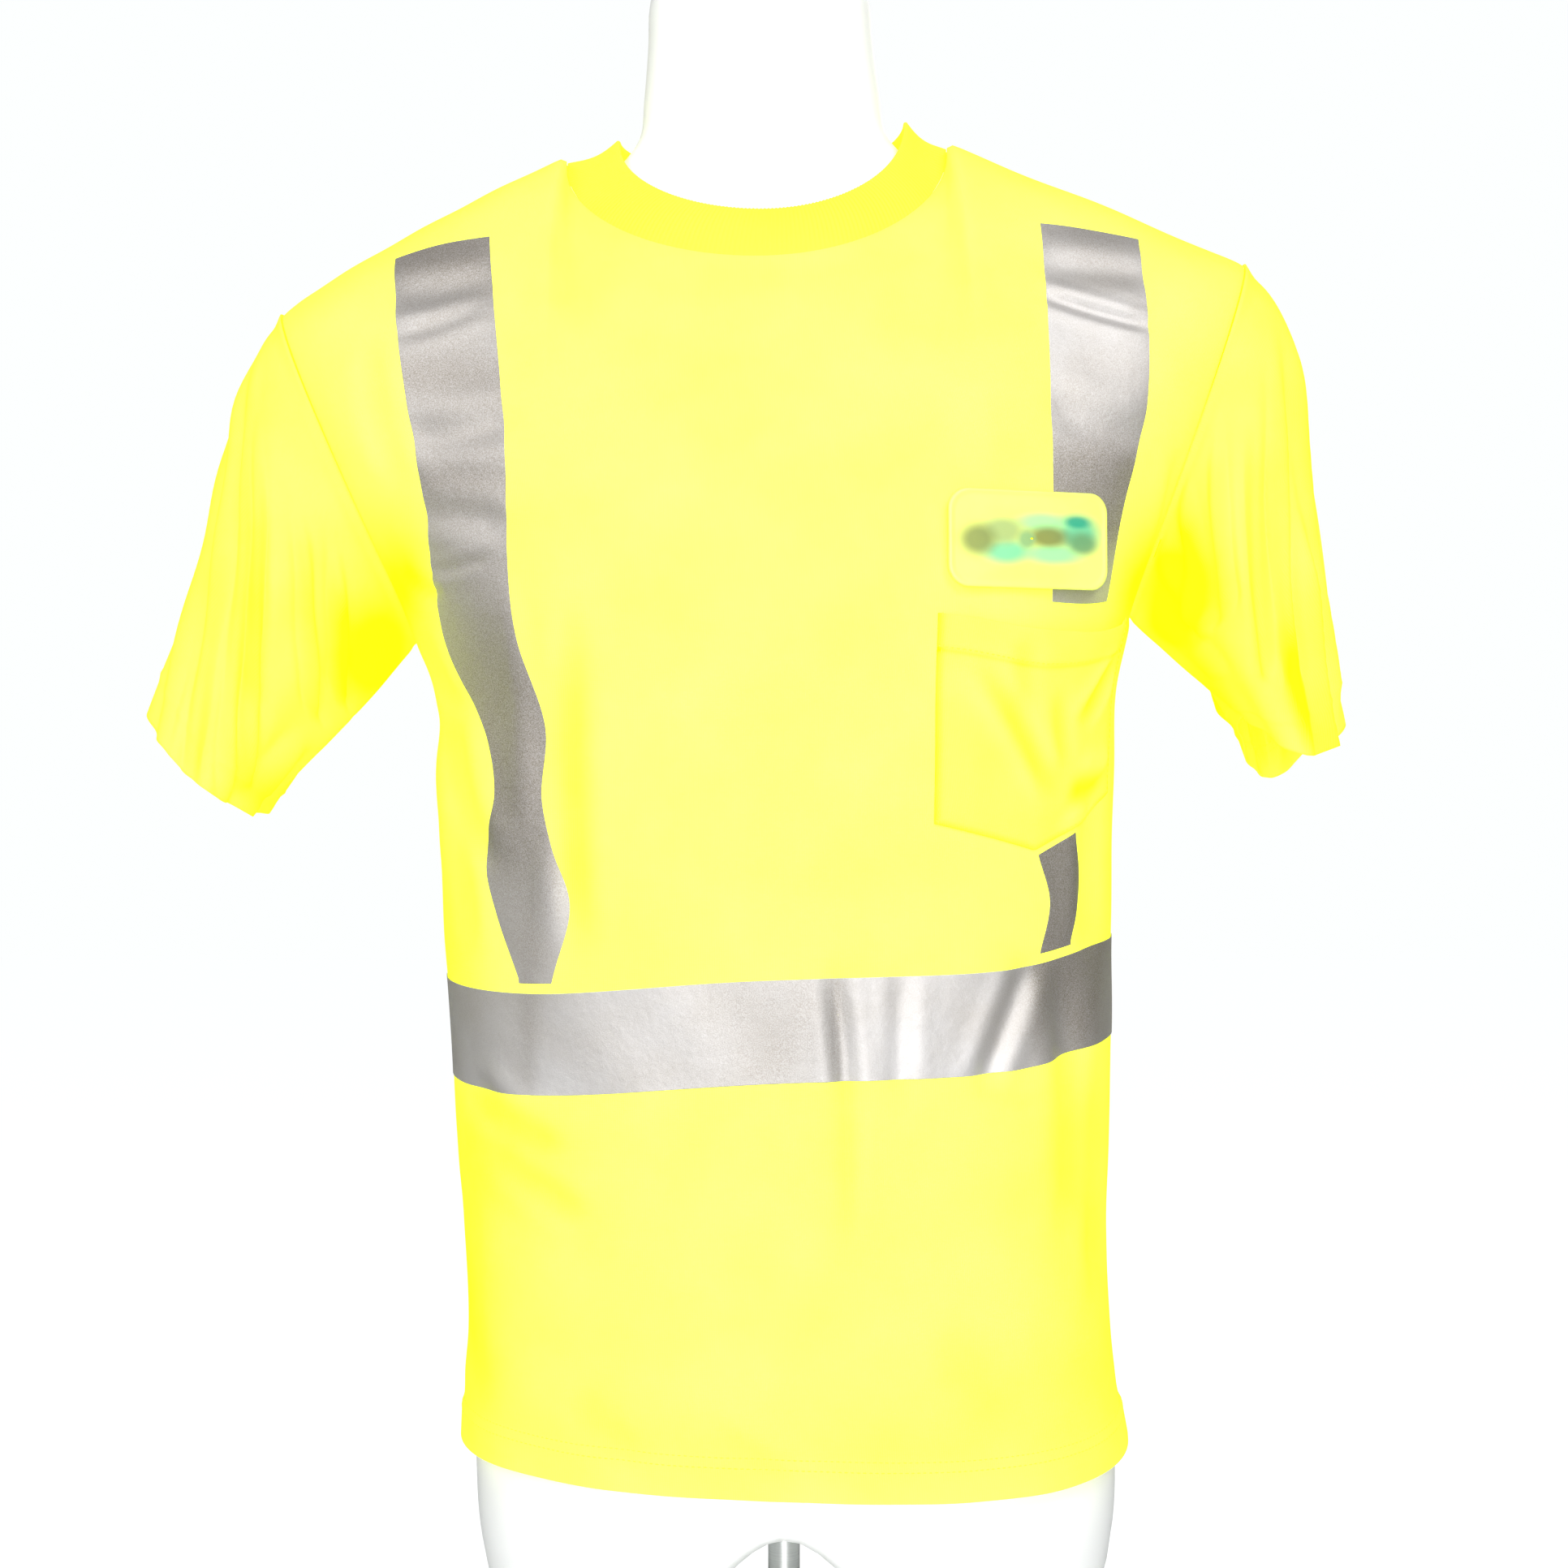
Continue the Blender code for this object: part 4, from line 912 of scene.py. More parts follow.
def neck_ring(share):
    """Rings between the neck seam (0) and the free edge (1), as an ellipse with its own sides."""
    turn = np.arange(RIB_COUNT * POINTS_PER_RIB) / (RIB_COUNT * POINTS_PER_RIB) * 2 * math.pi
    sine, cosine = np.sin(turn), np.cos(turn)
    left, ahead = sine >= 0, cosine >= 0
    seam_half = np.abs(by_hand(NECK_SIDE, left) - NECK_MIDDLE)
    seam_side = by_hand(NECK_SIDE, left, 1)
    seam_low = np.where(ahead, NECK_LOW[FRONT], NECK_LOW[BACK])
    seam = np.stack([NECK_MIDDLE + seam_half * sine, -NECK_DEPTH[FRONT] * cosine,
                     seam_low + (seam_side - seam_low) * (1 - np.abs(cosine))], axis=-1)
    free_side = by_hand(RIB_TOP_SIDE, left)
    free_low = np.where(ahead, RIB_TOP_LOW[FRONT], RIB_TOP_LOW[BACK])
    free_depth = np.where(ahead, RIB_TOP_DEPTH[FRONT], RIB_TOP_DEPTH[BACK])
    free = np.stack([RIB_TOP_CENTRE + RIB_TOP_HALF * sine, -free_depth * cosine,
                     free_low + (free_side - free_low) * (1 - np.abs(cosine))], axis=-1)
    outward = np.stack([sine, -cosine, 0 * sine], axis=-1) * 0.55 + np.array([0, 0, 0.83])
    rise = share[:, None, None]
    rings = seam + (free - seam) * rise
    # The crown turns into a slight hollow at the sides, where the shoulders sweep up to it.
    crown = RIB_CROWN * (1 - 2.2 * np.abs(sine) ** 8)[:, None]
    return rings + np.sin(math.pi * np.clip(rise, 0, 1)) * outward * crown, outward


def neck_rib():
    """The folded strip: outer face, round edge, inner face, with ribs as a wave round the ring."""
    up = np.linspace(0.0, 1.0, 12)
    bend = np.linspace(0, math.pi, 7)[1:-1]
    share = np.concatenate([up, np.ones(len(bend)), up[::-1]])
    inward = np.concatenate([0 * up, (1 - np.cos(bend)) / 2, 0 * up + 1]) * RIB_THICKNESS
    beyond = np.concatenate([0 * up, np.sin(bend) / 2, 0 * up]) * RIB_THICKNESS
    rings, outward = neck_ring(share)
    slope = rings[11] - rings[0]
    slope /= np.linalg.norm(slope, axis=-1, keepdims=True)
    rings = rings - outward * inward[:, None, None] + slope * beyond[:, None, None]
    column = np.arange(rings.shape[1]) / POINTS_PER_RIB * 2 * math.pi
    fade = np.sin(np.linspace(0.04, 0.96, len(share)) * math.pi)[:, None] ** 0.3
    wave = RIB_HEIGHT * np.cos(column)[None, :] * fade
    face = np.where(np.arange(len(share)) < len(up) + 3, 1.0, -1.0)[:, None]
    dip = SEAM_DIP * np.exp(-(share * RIB_WIDTH / SEAM_REACH) ** 2)[:, None]
    return rings + outward * ((wave * face) - dip * np.maximum(face, 0))[..., None]


rib_points = neck_rib()
rib = surface("neck_rib_knit", rib_points, 1, RIB, ring=True)
settle(rib, "neck_rib")
print("rib width:", np.round(np.linalg.norm(rib_points[11, 0] - rib_points[0, 0]), 4), "m")

# %% [markdown]
# ## Tape that lies on the cloth
# The tapes are heat-pressed, so they follow every fold of the panel and stand out by less than
# half a millimetre. Each is a patch of the same cloth function between two edge curves, lifted
# along its normals. Its edges wander where the cloth's folds carry them.

# %% Tape edges
RIGHT_TAPE_OUTER = [(0.602, -0.133), (0.632, -0.144), (0.667, -0.150), (0.694, -0.1442),
                    (0.721, -0.148), (0.768, -0.170), (0.837, -0.180), (0.926, -0.1947),
                    (0.975, -0.2005)]
RIGHT_TAPE_INNER = [(0.600, -0.1154), (0.640, -0.107), (0.668, -0.115), (0.690, -0.120),
                    (0.7285, -0.1186), (0.771, -0.1325), (0.870, -0.139), (0.984, -0.151)]
LEFT_TAPE_INNER = [(0.615, 0.128), (0.642, 0.133), (0.665, 0.127), (0.788, 0.134),
                   (0.910, 0.1331), (0.990, 0.1308)]
LEFT_TAPE_OUTER = [(0.621, 0.1445), (0.652, 0.1506), (0.6736, 0.1466), (0.720, 0.152),
                   (0.786, 0.1632), (0.842, 0.1716), (0.891, 0.1823), (0.958, 0.1826),
                   (0.985, 0.1808)]
BACK_TAPES = [[(0.600, -0.140), (0.780, -0.158), (0.975, -0.195)],
              [(0.600, -0.098), (0.780, -0.112), (0.984, -0.147)],
              [(0.600, 0.096), (0.780, 0.105), (0.990, 0.130)],
              [(0.600, 0.140), (0.780, 0.152), (0.985, 0.178)]]


def crossing(level, side, edge):
    """Place along a row where it meets a tape edge, given as (height, x) points."""
    place = np.linspace(-1, 1, 601)
    points = row_points(np.full(601, level), place, side)
    return float(np.interp(0.0, points[:, 0] - curve(edge, points[:, 2]), place))


def strip(side, levels, first_edge, last_edge, count, slant=0.0):
    """Levels and places across a strip, from one edge curve to the other.

    Slant turns the upper end: it adds to the level towards the last edge, more and more
    over the top quarter.
    """
    share = edged(count)
    ends = np.array([(crossing(level, side, first_edge), crossing(level, side, last_edge))
                     for level in levels])
    over = ease((levels - levels[0]) / (levels[-1] - levels[0]) * 4 - 3)[:, None]
    turned = levels[:, None] + slant * over * (share[None, :] - 0.5)
    ends = np.stack([np.interp(turned, levels, ends[:, k]) for k in (0, 1)])
    return turned, ends[0] + (ends[1] - ends[0]) * share


def laid_on(name, side, levels, places, lift, thickness, look, painted_shade=None):
    """A patch of the panel's cloth, lifted along its normals, with its thickness inside."""
    points = cloth(side, levels, places)
    normal = normals_of(points) * -side
    points = points + normal * (np.asarray(lift)[..., None] if np.ndim(lift) else lift)
    # Tapes get a painted shade from the ovals of TAPE_SHADE; behind, only the first.
    if look is TAPE:
        painted_shade = soft_shade(points, TAPE_SHADE if side == FRONT else TAPE_SHADE[:1])
    return thicken(surface(name, points, -side, look, painted_shade=painted_shade), thickness), points


chest_width = curve(RIGHT_TAPE_INNER, 0.9) - curve(RIGHT_TAPE_OUTER, 0.9)
print("tape width at the chest:", round(float(chest_width), 4))

# %% Tapes
# Ovals of painted shade on the film: middle (x, z), half width, half height, strength.
# The first is a general painted shade over the upper tapes, and the only one behind.
TAPE_SHADE = [(0.000, 0.880, 9.000, 0.150, 0.42), (-0.135, 0.705, 0.060, 0.100, 0.92),
              (-0.170, 0.910, 0.120, 0.120, 0.26), (0.142, 0.650, 0.040, 0.060, 1.00),
              (0.156, 0.845, 0.060, 0.032, 0.80), (-0.170, 0.975, 0.060, 0.026, 0.55),
              (-0.005, 0.580, 0.045, 0.060, 0.60),
              (-0.175, 0.905, 0.060, 0.012, 0.25), (-0.165, 0.853, 0.060, 0.010, 0.22),
              (0.160, 0.987, 0.060, 0.024, 0.50), (0.152, 0.588, 0.018, 0.060, 0.80),
              (-0.128, 0.572, 0.006, 0.060, 0.30),
              (0.026, 0.580, 0.004, 0.060, 0.35), (0.128, 0.590, 0.006, 0.050, 0.40)]
FILM = 0.0003
UPPER_END, FOOT = LEVEL["armpit"] + 0.68, LEVEL["tape_foot"]
OVER_POCKET = LEVEL["armpit"] + 0.035
TAPES = [("tape_front_right", FRONT, FOOT, UPPER_END, RIGHT_TAPE_OUTER, RIGHT_TAPE_INNER, -0.085),
         ("tape_front_left_upper", FRONT, OVER_POCKET, UPPER_END, LEFT_TAPE_INNER,
          LEFT_TAPE_OUTER, 0.07),
         ("tape_front_left_lower", FRONT, FOOT, LEVEL["under_pocket"], LEFT_TAPE_INNER,
          LEFT_TAPE_OUTER, 0.0),
         ("tape_back_right", BACK, FOOT, UPPER_END, BACK_TAPES[0], BACK_TAPES[1], -0.05),
         ("tape_back_left", BACK, FOOT, UPPER_END, BACK_TAPES[2], BACK_TAPES[3], 0.05)]
tapes = {}
for node, side, first, last, one, other, slant in TAPES:
    levels = levels_between(first, last, 0.0022)
    tapes[node] = laid_on(f"{node}_film", side, *strip(side, levels, one, other, 25, slant),
                          TRIM_LIFT, FILM, TAPE)
for node, side in (("band_front", FRONT), ("band_back", BACK)):
    levels = levels_between(LEVEL["band_low"], LEVEL["band_high"], 0.0024)
    places = np.tile(even_places(210), (len(levels), 1))
    tapes[node] = laid_on(f"{node}_film", side, levels, places, TRIM_LIFT, FILM, TAPE)
for node, (piece, points) in tapes.items():
    settle(piece, node)
    print(piece.name, points.shape[:2])

# %% [markdown]
# ## Chest pocket
# A patch pocket is a five-sided piece with its mouth turned in and stitched, and its other edges
# sewn flat. It hangs from the chest, so it bellies a little and its mouth stands away from the
# cloth. It is a patch of the panel too, with its own lift: nothing at the sewn edges, a few
# millimetres in the middle.

# %% Pocket
POCKET_PLACE, POCKET_SHARE = 0.25, 0.45
POCKET_HEM, POCKET_HEIGHT = 0.018, 0.105
HEM_SHARE = 1 - POCKET_HEM / POCKET_HEIGHT
# Each fold: both ends as shares across and up, half width as a share, depth, rolls.
POCKET_FOLDS = [((0.16, 0.78), (0.52, 0.22), 0.050, 0.0022, 0.5),
                ((0.90, 0.80), (0.66, 0.52), 0.050, 0.0028, 0.5),
                ((0.60, 0.20), (0.92, 0.10), 0.070, 0.0036, 0.5),
                ((0.50, 0.70), (0.56, 0.30), 0.045, 0.0016, 0.5),
                ((0.30, 0.95), (0.34, 0.60), 0.050, 0.0012, 0.4)]
pocket_levels = levels_between(LEVEL["pocket_foot"], LEVEL["armpit"], 0.0018)
ends = [crossing(level, FRONT, LEFT_TAPE_OUTER) for level in pocket_levels]
pocket_places = np.array([POCKET_PLACE + (end + POCKET_SHARE * (1 - end) - POCKET_PLACE) * edged(72)
                          for end in ends])


def pocket_fold(over, up, first, last, width, depth, roll):
    """One fold: its profile across the line between its ends, eased out past both of them."""
    run_u, run_v = last[0] - first[0], last[1] - first[1]
    length = math.hypot(run_u, run_v)
    off = ((over - first[0]) * run_v - (up - first[1]) * run_u) / length / width
    along = ((over - first[0]) * run_u + (up - first[1]) * run_v) / length ** 2
    return depth * fold_profile(off, roll) * ease(along / 0.4 + 0.3) * ease((1 - along) / 0.4 + 0.3)


def pocket_lift(rows, columns):
    """Lift over the panel: a belly, a gaping mouth, pinches along the sewn edges, a hem step; and
    painted shade.
    """
    up = (pocket_levels - pocket_levels[0])[:, None] / np.ptp(pocket_levels) + np.zeros((1, columns))
    over = edged(72)[None, :] + np.zeros((rows, 1))
    side_free = ease(over / 0.16) * ease((1 - over) / 0.16)
    belly = 0.0030 * side_free * ease(up / 0.18)
    gape = 0.0034 * np.sin(math.pi * np.clip(over * 1.25 - 0.22, 0, 1)) ** 2 * ease((up - 0.75) / 0.25)
    folds = sum(pocket_fold(over, up, *fold) for fold in POCKET_FOLDS)
    edge = np.minimum(np.minimum(over, 1 - over) * 0.13, up * 0.11)
    stitched = -0.0005 * np.exp(-((edge - 0.0035) / 0.0012) ** 2)
    hem = 0.0005 * ease((up - HEM_SHARE) / 0.02) - 0.0006 * np.exp(-((up - HEM_SHARE) / 0.012) ** 2)
    # Painted shade on the pocket: a little all over, more in the troughs of its folds, along its sewn
    # edges and at its hem.
    painted_shade = np.clip(0.20 - folds / 0.0035 * 0.6 + 0.5 * np.exp(-(edge / 0.0025) ** 2)
                     + 0.3 * np.exp(-((up - HEM_SHARE) / 0.014) ** 2), 0, 1)
    return 0.0011 + belly + gape + (folds + stitched + hem) * np.clip(side_free + 0.15, 0, 1), painted_shade


lift, painted_shade = pocket_lift(*pocket_places.shape)
pocket, pocket_points = laid_on("chest_pocket_cloth", FRONT, pocket_levels, pocket_places, lift,
                                JERSEY_THICKNESS, JERSEY, painted_shade)
settle(pocket, "chest_pocket")
print("pocket, least:", np.round(pocket_points.min(axis=(0, 1)), 3))
print("pocket, most:", np.round(pocket_points.max(axis=(0, 1)), 3))

# %% [markdown]
# ## Stitches
# Hems and pocket are held by rows of thread. Each stitch is a short fat bead that dives into the
# cloth at both ends. One bead of a few faces is made, and copied along a path as one array, so
# that thousands of stitches are still one small mesh.

# %% Stitches
STITCH_PITCH, STITCH_LENGTH, STITCH_RADIUS = 0.0030, 0.0024, 0.00032


def bead():
    """A stretched bead: five rings of six points, their radius following half a sine."""
    t = np.linspace(0, 1, 5)
    turn = np.arange(6) / 6 * 2 * math.pi
    radius = STITCH_RADIUS * (0.25 + 0.75 * np.sin(math.pi * t))
    along = (t - 0.5) * STITCH_LENGTH
    sink = -0.6 * STITCH_RADIUS * (1 - np.sin(math.pi * t))
    ring = np.stack([along[:, None] + 0 * turn, radius[:, None] * np.cos(turn),
                     radius[:, None] * np.sin(turn) + sink[:, None]], axis=-1)
    return ring.reshape(-1, 3), grid_faces(5, 6, True)


def stitch_row(path, normals):
    """Places, directions and normals of stitches at an even pitch along a path."""
    run = np.concatenate([[0], np.cumsum(np.linalg.norm(np.diff(path, axis=0), axis=1))])
    at = np.arange(STITCH_PITCH / 2, run[-1], STITCH_PITCH)
    spots = np.stack([np.interp(at, run, path[:, k]) for k in range(3)], axis=-1)
    ahead = np.stack([np.interp(at + 0.001, run, path[:, k]) for k in range(3)], axis=-1) - spots
    up = np.stack([np.interp(at, run, normals[:, k]) for k in range(3)], axis=-1)
    return spots, ahead, up


def stitches(name, rows):
    """One mesh of all the stitches: each bead turned to its row's direction and normal."""
    spots, ahead, up = (np.concatenate(parts) for parts in zip(*[stitch_row(p, n) for p, n in rows]))
    keep = np.linalg.norm(ahead, axis=1) > 1e-6
    spots, ahead, up = spots[keep], ahead[keep], up[keep]
    ahead /= np.linalg.norm(ahead, axis=1, keepdims=True)
    side = np.cross(up, ahead)
    side /= np.linalg.norm(side, axis=1, keepdims=True)
    up = np.cross(ahead, side)
    shape, faces = bead()
    frames = np.stack([ahead, side, up], axis=1)
    points = (shape[None] @ frames + spots[:, None]).reshape(-1, 3)
    faces = (faces[None] + (np.arange(len(spots)) * len(shape))[:, None, None]).reshape(-1, 4)
    piece = mesh_object(name, points, faces, None, THREAD)
    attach(piece, "root")
    print(name, len(spots), "stitches")


def panel_row(side, level, count=320):
    """A path along one row of a panel, and the cloth's normals there."""
    levels = [level - 0.01, level, level + 0.01]
    points = cloth(side, levels, np.tile(np.linspace(-1, 1, count), (3, 1)))
    return points[1], (normals_of(points) * -side)[1]


def ring_row(points, row, outward):
    """A closed path along one ring of a sleeve, and its normals."""
    normal = ring_normals(points)[row] * outward
    return np.concatenate([points[row], points[row, :1]]), np.concatenate([normal, normal[:1]])


HEM_ROWS = (LEVEL["hem_stitch"], LEVEL["hem_stitch"] - 0.24)
for word, side in (("front", FRONT), ("back", BACK)):
    stitches(f"hem_stitches_{word}", [panel_row(side, level) for level in HEM_ROWS])

# %% Sleeve and pocket stitches
for hand, name in ((-1, "right"), (1, "left")):
    points = sleeves[hand][1]
    to_cuff = (1 - down) * SLEEVE_LENGTH
    rows = [int(np.argmin(np.abs(to_cuff - away))) for away in (CUFF_FOLD, CUFF_FOLD - 0.005)]
    stitches(f"cuff_stitches_{name}", [ring_row(points, row, -hand) for row in rows])
pocket_normals = normals_of(pocket_points)
hem_row = int(len(pocket_points) * HEM_SHARE)
stitches("pocket_stitches", [(pocket_points[:, 2], pocket_normals[:, 2]),
                             (pocket_points[:, -3], pocket_normals[:, -3]),
                             (pocket_points[2], pocket_normals[2]),
                             (pocket_points[hem_row], pocket_normals[hem_row])])

# %% [markdown]
# ## Badge
# A soft plastic badge is pressed on above the pocket: a thin plate with round corners and a
# raised rim. Its outline is a rounded rectangle, and its face is that outline shrunk in rings to
# the middle, so the rim can rise and fall smoothly. The mark on it is a plain pattern of soft
# shapes, not anyone's sign.

# %% Badge shape
BADGE_PLACE = (0.1206, 0.8214)
BADGE_SIZE = (0.088, 0.048)
BADGE_CORNER, BADGE_WALL, BADGE_BEND, BADGE_LIFT = 0.010, 0.0016, 0.28, 0.0043
BADGE_RIM = 0.0011


def badge_frame():
    """The chest's point, normal, sideways and upward directions under the badge."""
    rises = np.linspace(0.0, 1.0, 101)
    heights = np.array([chest_points(np.array([0.45]), rise, FRONT)[0, 2] for rise in rises])
    rise = float(np.interp(BADGE_PLACE[1], heights, rises))
    level = LEVEL["armpit"] + rise
    place = crossing(level, FRONT, [(0.0, BADGE_PLACE[0]), (2.0, BADGE_PLACE[0])])
    near = np.array([chest_points(place + np.array([-0.01, 0, 0.01]), rise + step, FRONT)
                     for step in (-0.01, 0, 0.01)])
    normal = normals_of(near)[1, 1]
    upward = np.array([0, 0, 1.0]) - normal * normal[2]
    upward /= np.linalg.norm(upward)
    return near[1, 1], normal, np.cross(upward, normal), upward


def rounded_outline(half_w, half_h, corner, per_corner=14):
    """Anticlockwise rounded rectangle: four quarter circles joined by straight sides."""
    angles = np.concatenate([np.linspace(90 * k, 90 * k + 90, per_corner) for k in range(4)])
    centre_x = np.repeat([1, -1, -1, 1], per_corner) * (half_w - corner)
    centre_y = np.repeat([1, 1, -1, -1], per_corner) * (half_h - corner)
    return np.stack([centre_x + corner * np.cos(np.radians(angles)),
                     centre_y + corner * np.sin(np.radians(angles))], axis=-1)


def badge_points():
    """Rings from the middle of the face out over the rim and round to the back."""
    half_w, half_h = BADGE_SIZE[0] / 2, BADGE_SIZE[1] / 2
    outline = rounded_outline(half_w, half_h, BADGE_CORNER)
    sizes = np.array([0.02, 0.15, 0.30, 0.45, 0.60, 0.75, 0.86, 0.90, 0.925, 0.95, 0.975, 0.995,
                      1.0, 0.995, 0.97, 0.6, 0.02])
    heights = np.array([0, 0, 0, 0, 0, 0, 0, 0.05, 0.35, 0.55, 0.5, 0.3, -0.4, -0.9, -1.0, -1.0, -1.0])
    size = sizes[:, None]
    # Near the rim the rings shrink by a set distance, so that the rim is even all round.
    shrink = np.stack([1 - (1 - size) * half_h / half_w * 1.15, size + 0 * size], axis=-1)
    flat = outline[None] * np.where(size[..., None] > 0.8, shrink, size[..., None])
    height = heights[:, None] * BADGE_RIM + BADGE_WALL
    point, normal, sideways, upward = badge_frame()
    bend = flat[..., 0] ** 2 / (2 * BADGE_BEND)
    ripple = 0.0007 * np.sin(flat[..., 0] * 95 + 0.8) * np.clip(-flat[..., 1] / half_h, 0, 1)
    out = BADGE_LIFT + height - bend
    points = (point + out[..., None] * normal + flat[..., :1] * sideways
              + (flat[..., 1] + ripple)[..., None] * upward)
    return points, flat


# %% [markdown]
# The badge's finish is pale yellow plastic, a little glossy, with a printed pattern of soft-edged
# ovals in olive, teal and green. Each oval is a mask: one minus the eased distance from its middle.
# The distances come from the piece's own UV map, which holds metres from the badge's middle.

# %% Badge material
# Each oval: its middle, half width and half height in metres, and its colour.
OVALS = [((0.026, 0.004), (0.0165, 0.0110), (0.10, 0.52, 0.30)),
         ((0.012, -0.0075), (0.0200, 0.0060), (0.30, 0.80, 0.36)),
         ((0.006, 0.0080), (0.0180, 0.0060), (0.36, 0.82, 0.34)),
         ((-0.014, -0.0065), (0.0160, 0.0075), (0.16, 0.62, 0.34)),
         ((-0.016, 0.0035), (0.0150, 0.0085), (0.34, 0.46, 0.17)),
         ((-0.029, -0.0010), (0.0120, 0.0098), (0.20, 0.25, 0.07)),
         ((0.009, 0.0010), (0.0150, 0.0068), (0.19, 0.22, 0.06)),
         ((0.029, -0.0015), (0.0110, 0.0070), (0.13, 0.30, 0.13)),
         ((-0.003, -0.0005), (0.0060, 0.0060), (0.24, 0.44, 0.18)),
         ((0.026, 0.0090), (0.0095, 0.0038), (0.02, 0.34, 0.21))]


def oval_mask(tree, vector, centre, radii):
    """1 inside an oval, eased to 0 at its edge: distance of (uv - centre) / radii from zero."""
    shifted = tree.nodes.new("ShaderNodeMapping")
    shifted.vector_type = "TEXTURE"
    shifted.inputs["Location"].default_value = (*centre, 0)
    shifted.inputs["Scale"].default_value = (*radii, 1)
    tree.links.new(vector, shifted.inputs["Vector"])
    length = tree.nodes.new("ShaderNodeVectorMath")
    length.operation = "LENGTH"
    tree.links.new(shifted.outputs[0], length.inputs[0])
    fall = tree.nodes.new("ShaderNodeMapRange")
    fall.interpolation_type = "SMOOTHSTEP"
    for label, value in (("From Min", 0.35), ("From Max", 1.15), ("To Min", 0.9), ("To Max", 0.0)):
        fall.inputs[label].default_value = value
    tree.links.new(length.outputs["Value"], fall.inputs["Value"])
    return fall.outputs["Result"]


def badge_material():
    """Pale yellow plastic with a faint painted glow outside the print, and the ovals mixed in one after
    another.
    """
    made, tree, shader = new_material("badge_plastic", Roughness=0.38, Specular_IOR_Level=0.45,
                                      Emission_Color=(1.0, 1.0, 0.25, 1.0), Emission_Strength=0.10)
    tone = place_group(tree, TONE, coordinates(tree, "Object"), Patch=40.0, Speck=1500.0)
    colour = mix_colours(tree, tone.outputs["Patches"], (0.74, 0.80, 0.15), (0.70, 0.78, 0.18))
    uv = coordinates(tree, "UV")
    inked = None
    for centre, radii, ink in OVALS:
        mask = oval_mask(tree, uv, centre, radii)
        colour = mix_colours(tree, mask, colour, ink)
        inked = mask if inked is None else math_node(tree, "MAXIMUM", inked, mask)
    tree.links.new(colour, shader.inputs["Base Color"])
    # Painted glow: the bare plastic glows faintly, the ovals don't.
    glow = mix_colours(tree, inked, (1.0, 1.0, 0.25), (0.0, 0.0, 0.0))
    tree.links.new(glow, shader.inputs["Emission Color"])
    bump(tree, shader, tone.outputs["Specks"], 0.00003, 0.5)
    return made


badge_grid, badge_flat = badge_points()
rows, columns = badge_grid.shape[:2]
faces = grid_faces(rows, columns, True)
# The back of the plate reads the face's far corner, where there is no print.
print_uv = np.where((np.arange(rows) > 12)[:, None, None], 0.2, badge_flat)
badge = mesh_object("badge_plate", badge_grid.reshape(-1, 3), faces[:, ::-1],
                    print_uv.reshape(-1, 2)[faces[:, ::-1]].reshape(-1, 2), badge_material())
settle(badge, "badge")
print("badge rings:", rows, "points each:", columns)

# %% [markdown]
# ## The dress form
# The form is a moulded torso with no arms or legs: white, smooth and softly shiny. It is turned
# like a pot whose section changes with height, from a table of sizes, and the neck ends in a
# plain cap. Under it a shallow arch leaves room for the pole.

# %% Form sizes
# Each ring: height, half width, depth in front, depth behind, power.
FORM_RINGS = [(0.263, 0.110, 0.070, 0.075, 0.92), (0.264, 0.146, 0.092, 0.097, 0.92),
              (0.275, 0.160, 0.103, 0.108, 0.92), (0.300, 0.167, 0.109, 0.112, 0.92),
              (0.350, 0.170, 0.116, 0.116, 0.92), (0.430, 0.164, 0.112, 0.109, 0.92),
              (0.520, 0.156, 0.106, 0.102, 0.92), (0.600, 0.154, 0.104, 0.100, 0.92),
              (0.690, 0.161, 0.109, 0.107, 0.92), (0.770, 0.173, 0.115, 0.113, 0.92),
              (0.840, 0.184, 0.113, 0.112, 0.95), (0.900, 0.192, 0.102, 0.107, 1.0),
              (0.935, 0.194, 0.089, 0.098, 1.05), (0.962, 0.189, 0.077, 0.089, 1.12),
              (0.982, 0.179, 0.068, 0.081, 1.2), (0.999, 0.161, 0.057, 0.073, 1.35),
              (1.013, 0.130, 0.050, 0.066, 1.5), (1.024, 0.100, 0.046, 0.060, 1.55),
              (1.033, 0.077, 0.046, 0.056, 1.35), (1.046, 0.066, 0.048, 0.053, 1.1),
              (1.066, 0.063, 0.051, 0.054, 1.0), (1.095, 0.060, 0.052, 0.053, 1.0),
              (1.120, 0.058, 0.052, 0.052, 1.0), (1.131, 0.054, 0.048, 0.048, 1.0)]
FORM_LEAN, FORM_CENTRE, HEM_HEIGHT, FORM_TOP = 0.025, 0.006, 0.350, 1.135
ARCH_RISE, ARCH_HALF_WIDTH, ARCH_FADE = 0.058, 0.048, 0.090
FORM_SIDES = 128


def form_profile(count):
    """Ring sizes at an even spacing along the profile, each column read as a curve of it."""
    table = np.array(FORM_RINGS)
    run = np.concatenate([[0], np.cumsum(np.linalg.norm(np.diff(table[:, :2], axis=0), axis=1))])
    at = np.linspace(0, run[-1], count)
    return np.stack([curve(np.stack([run, table[:, k]], axis=-1), at) for k in range(5)], axis=-1)


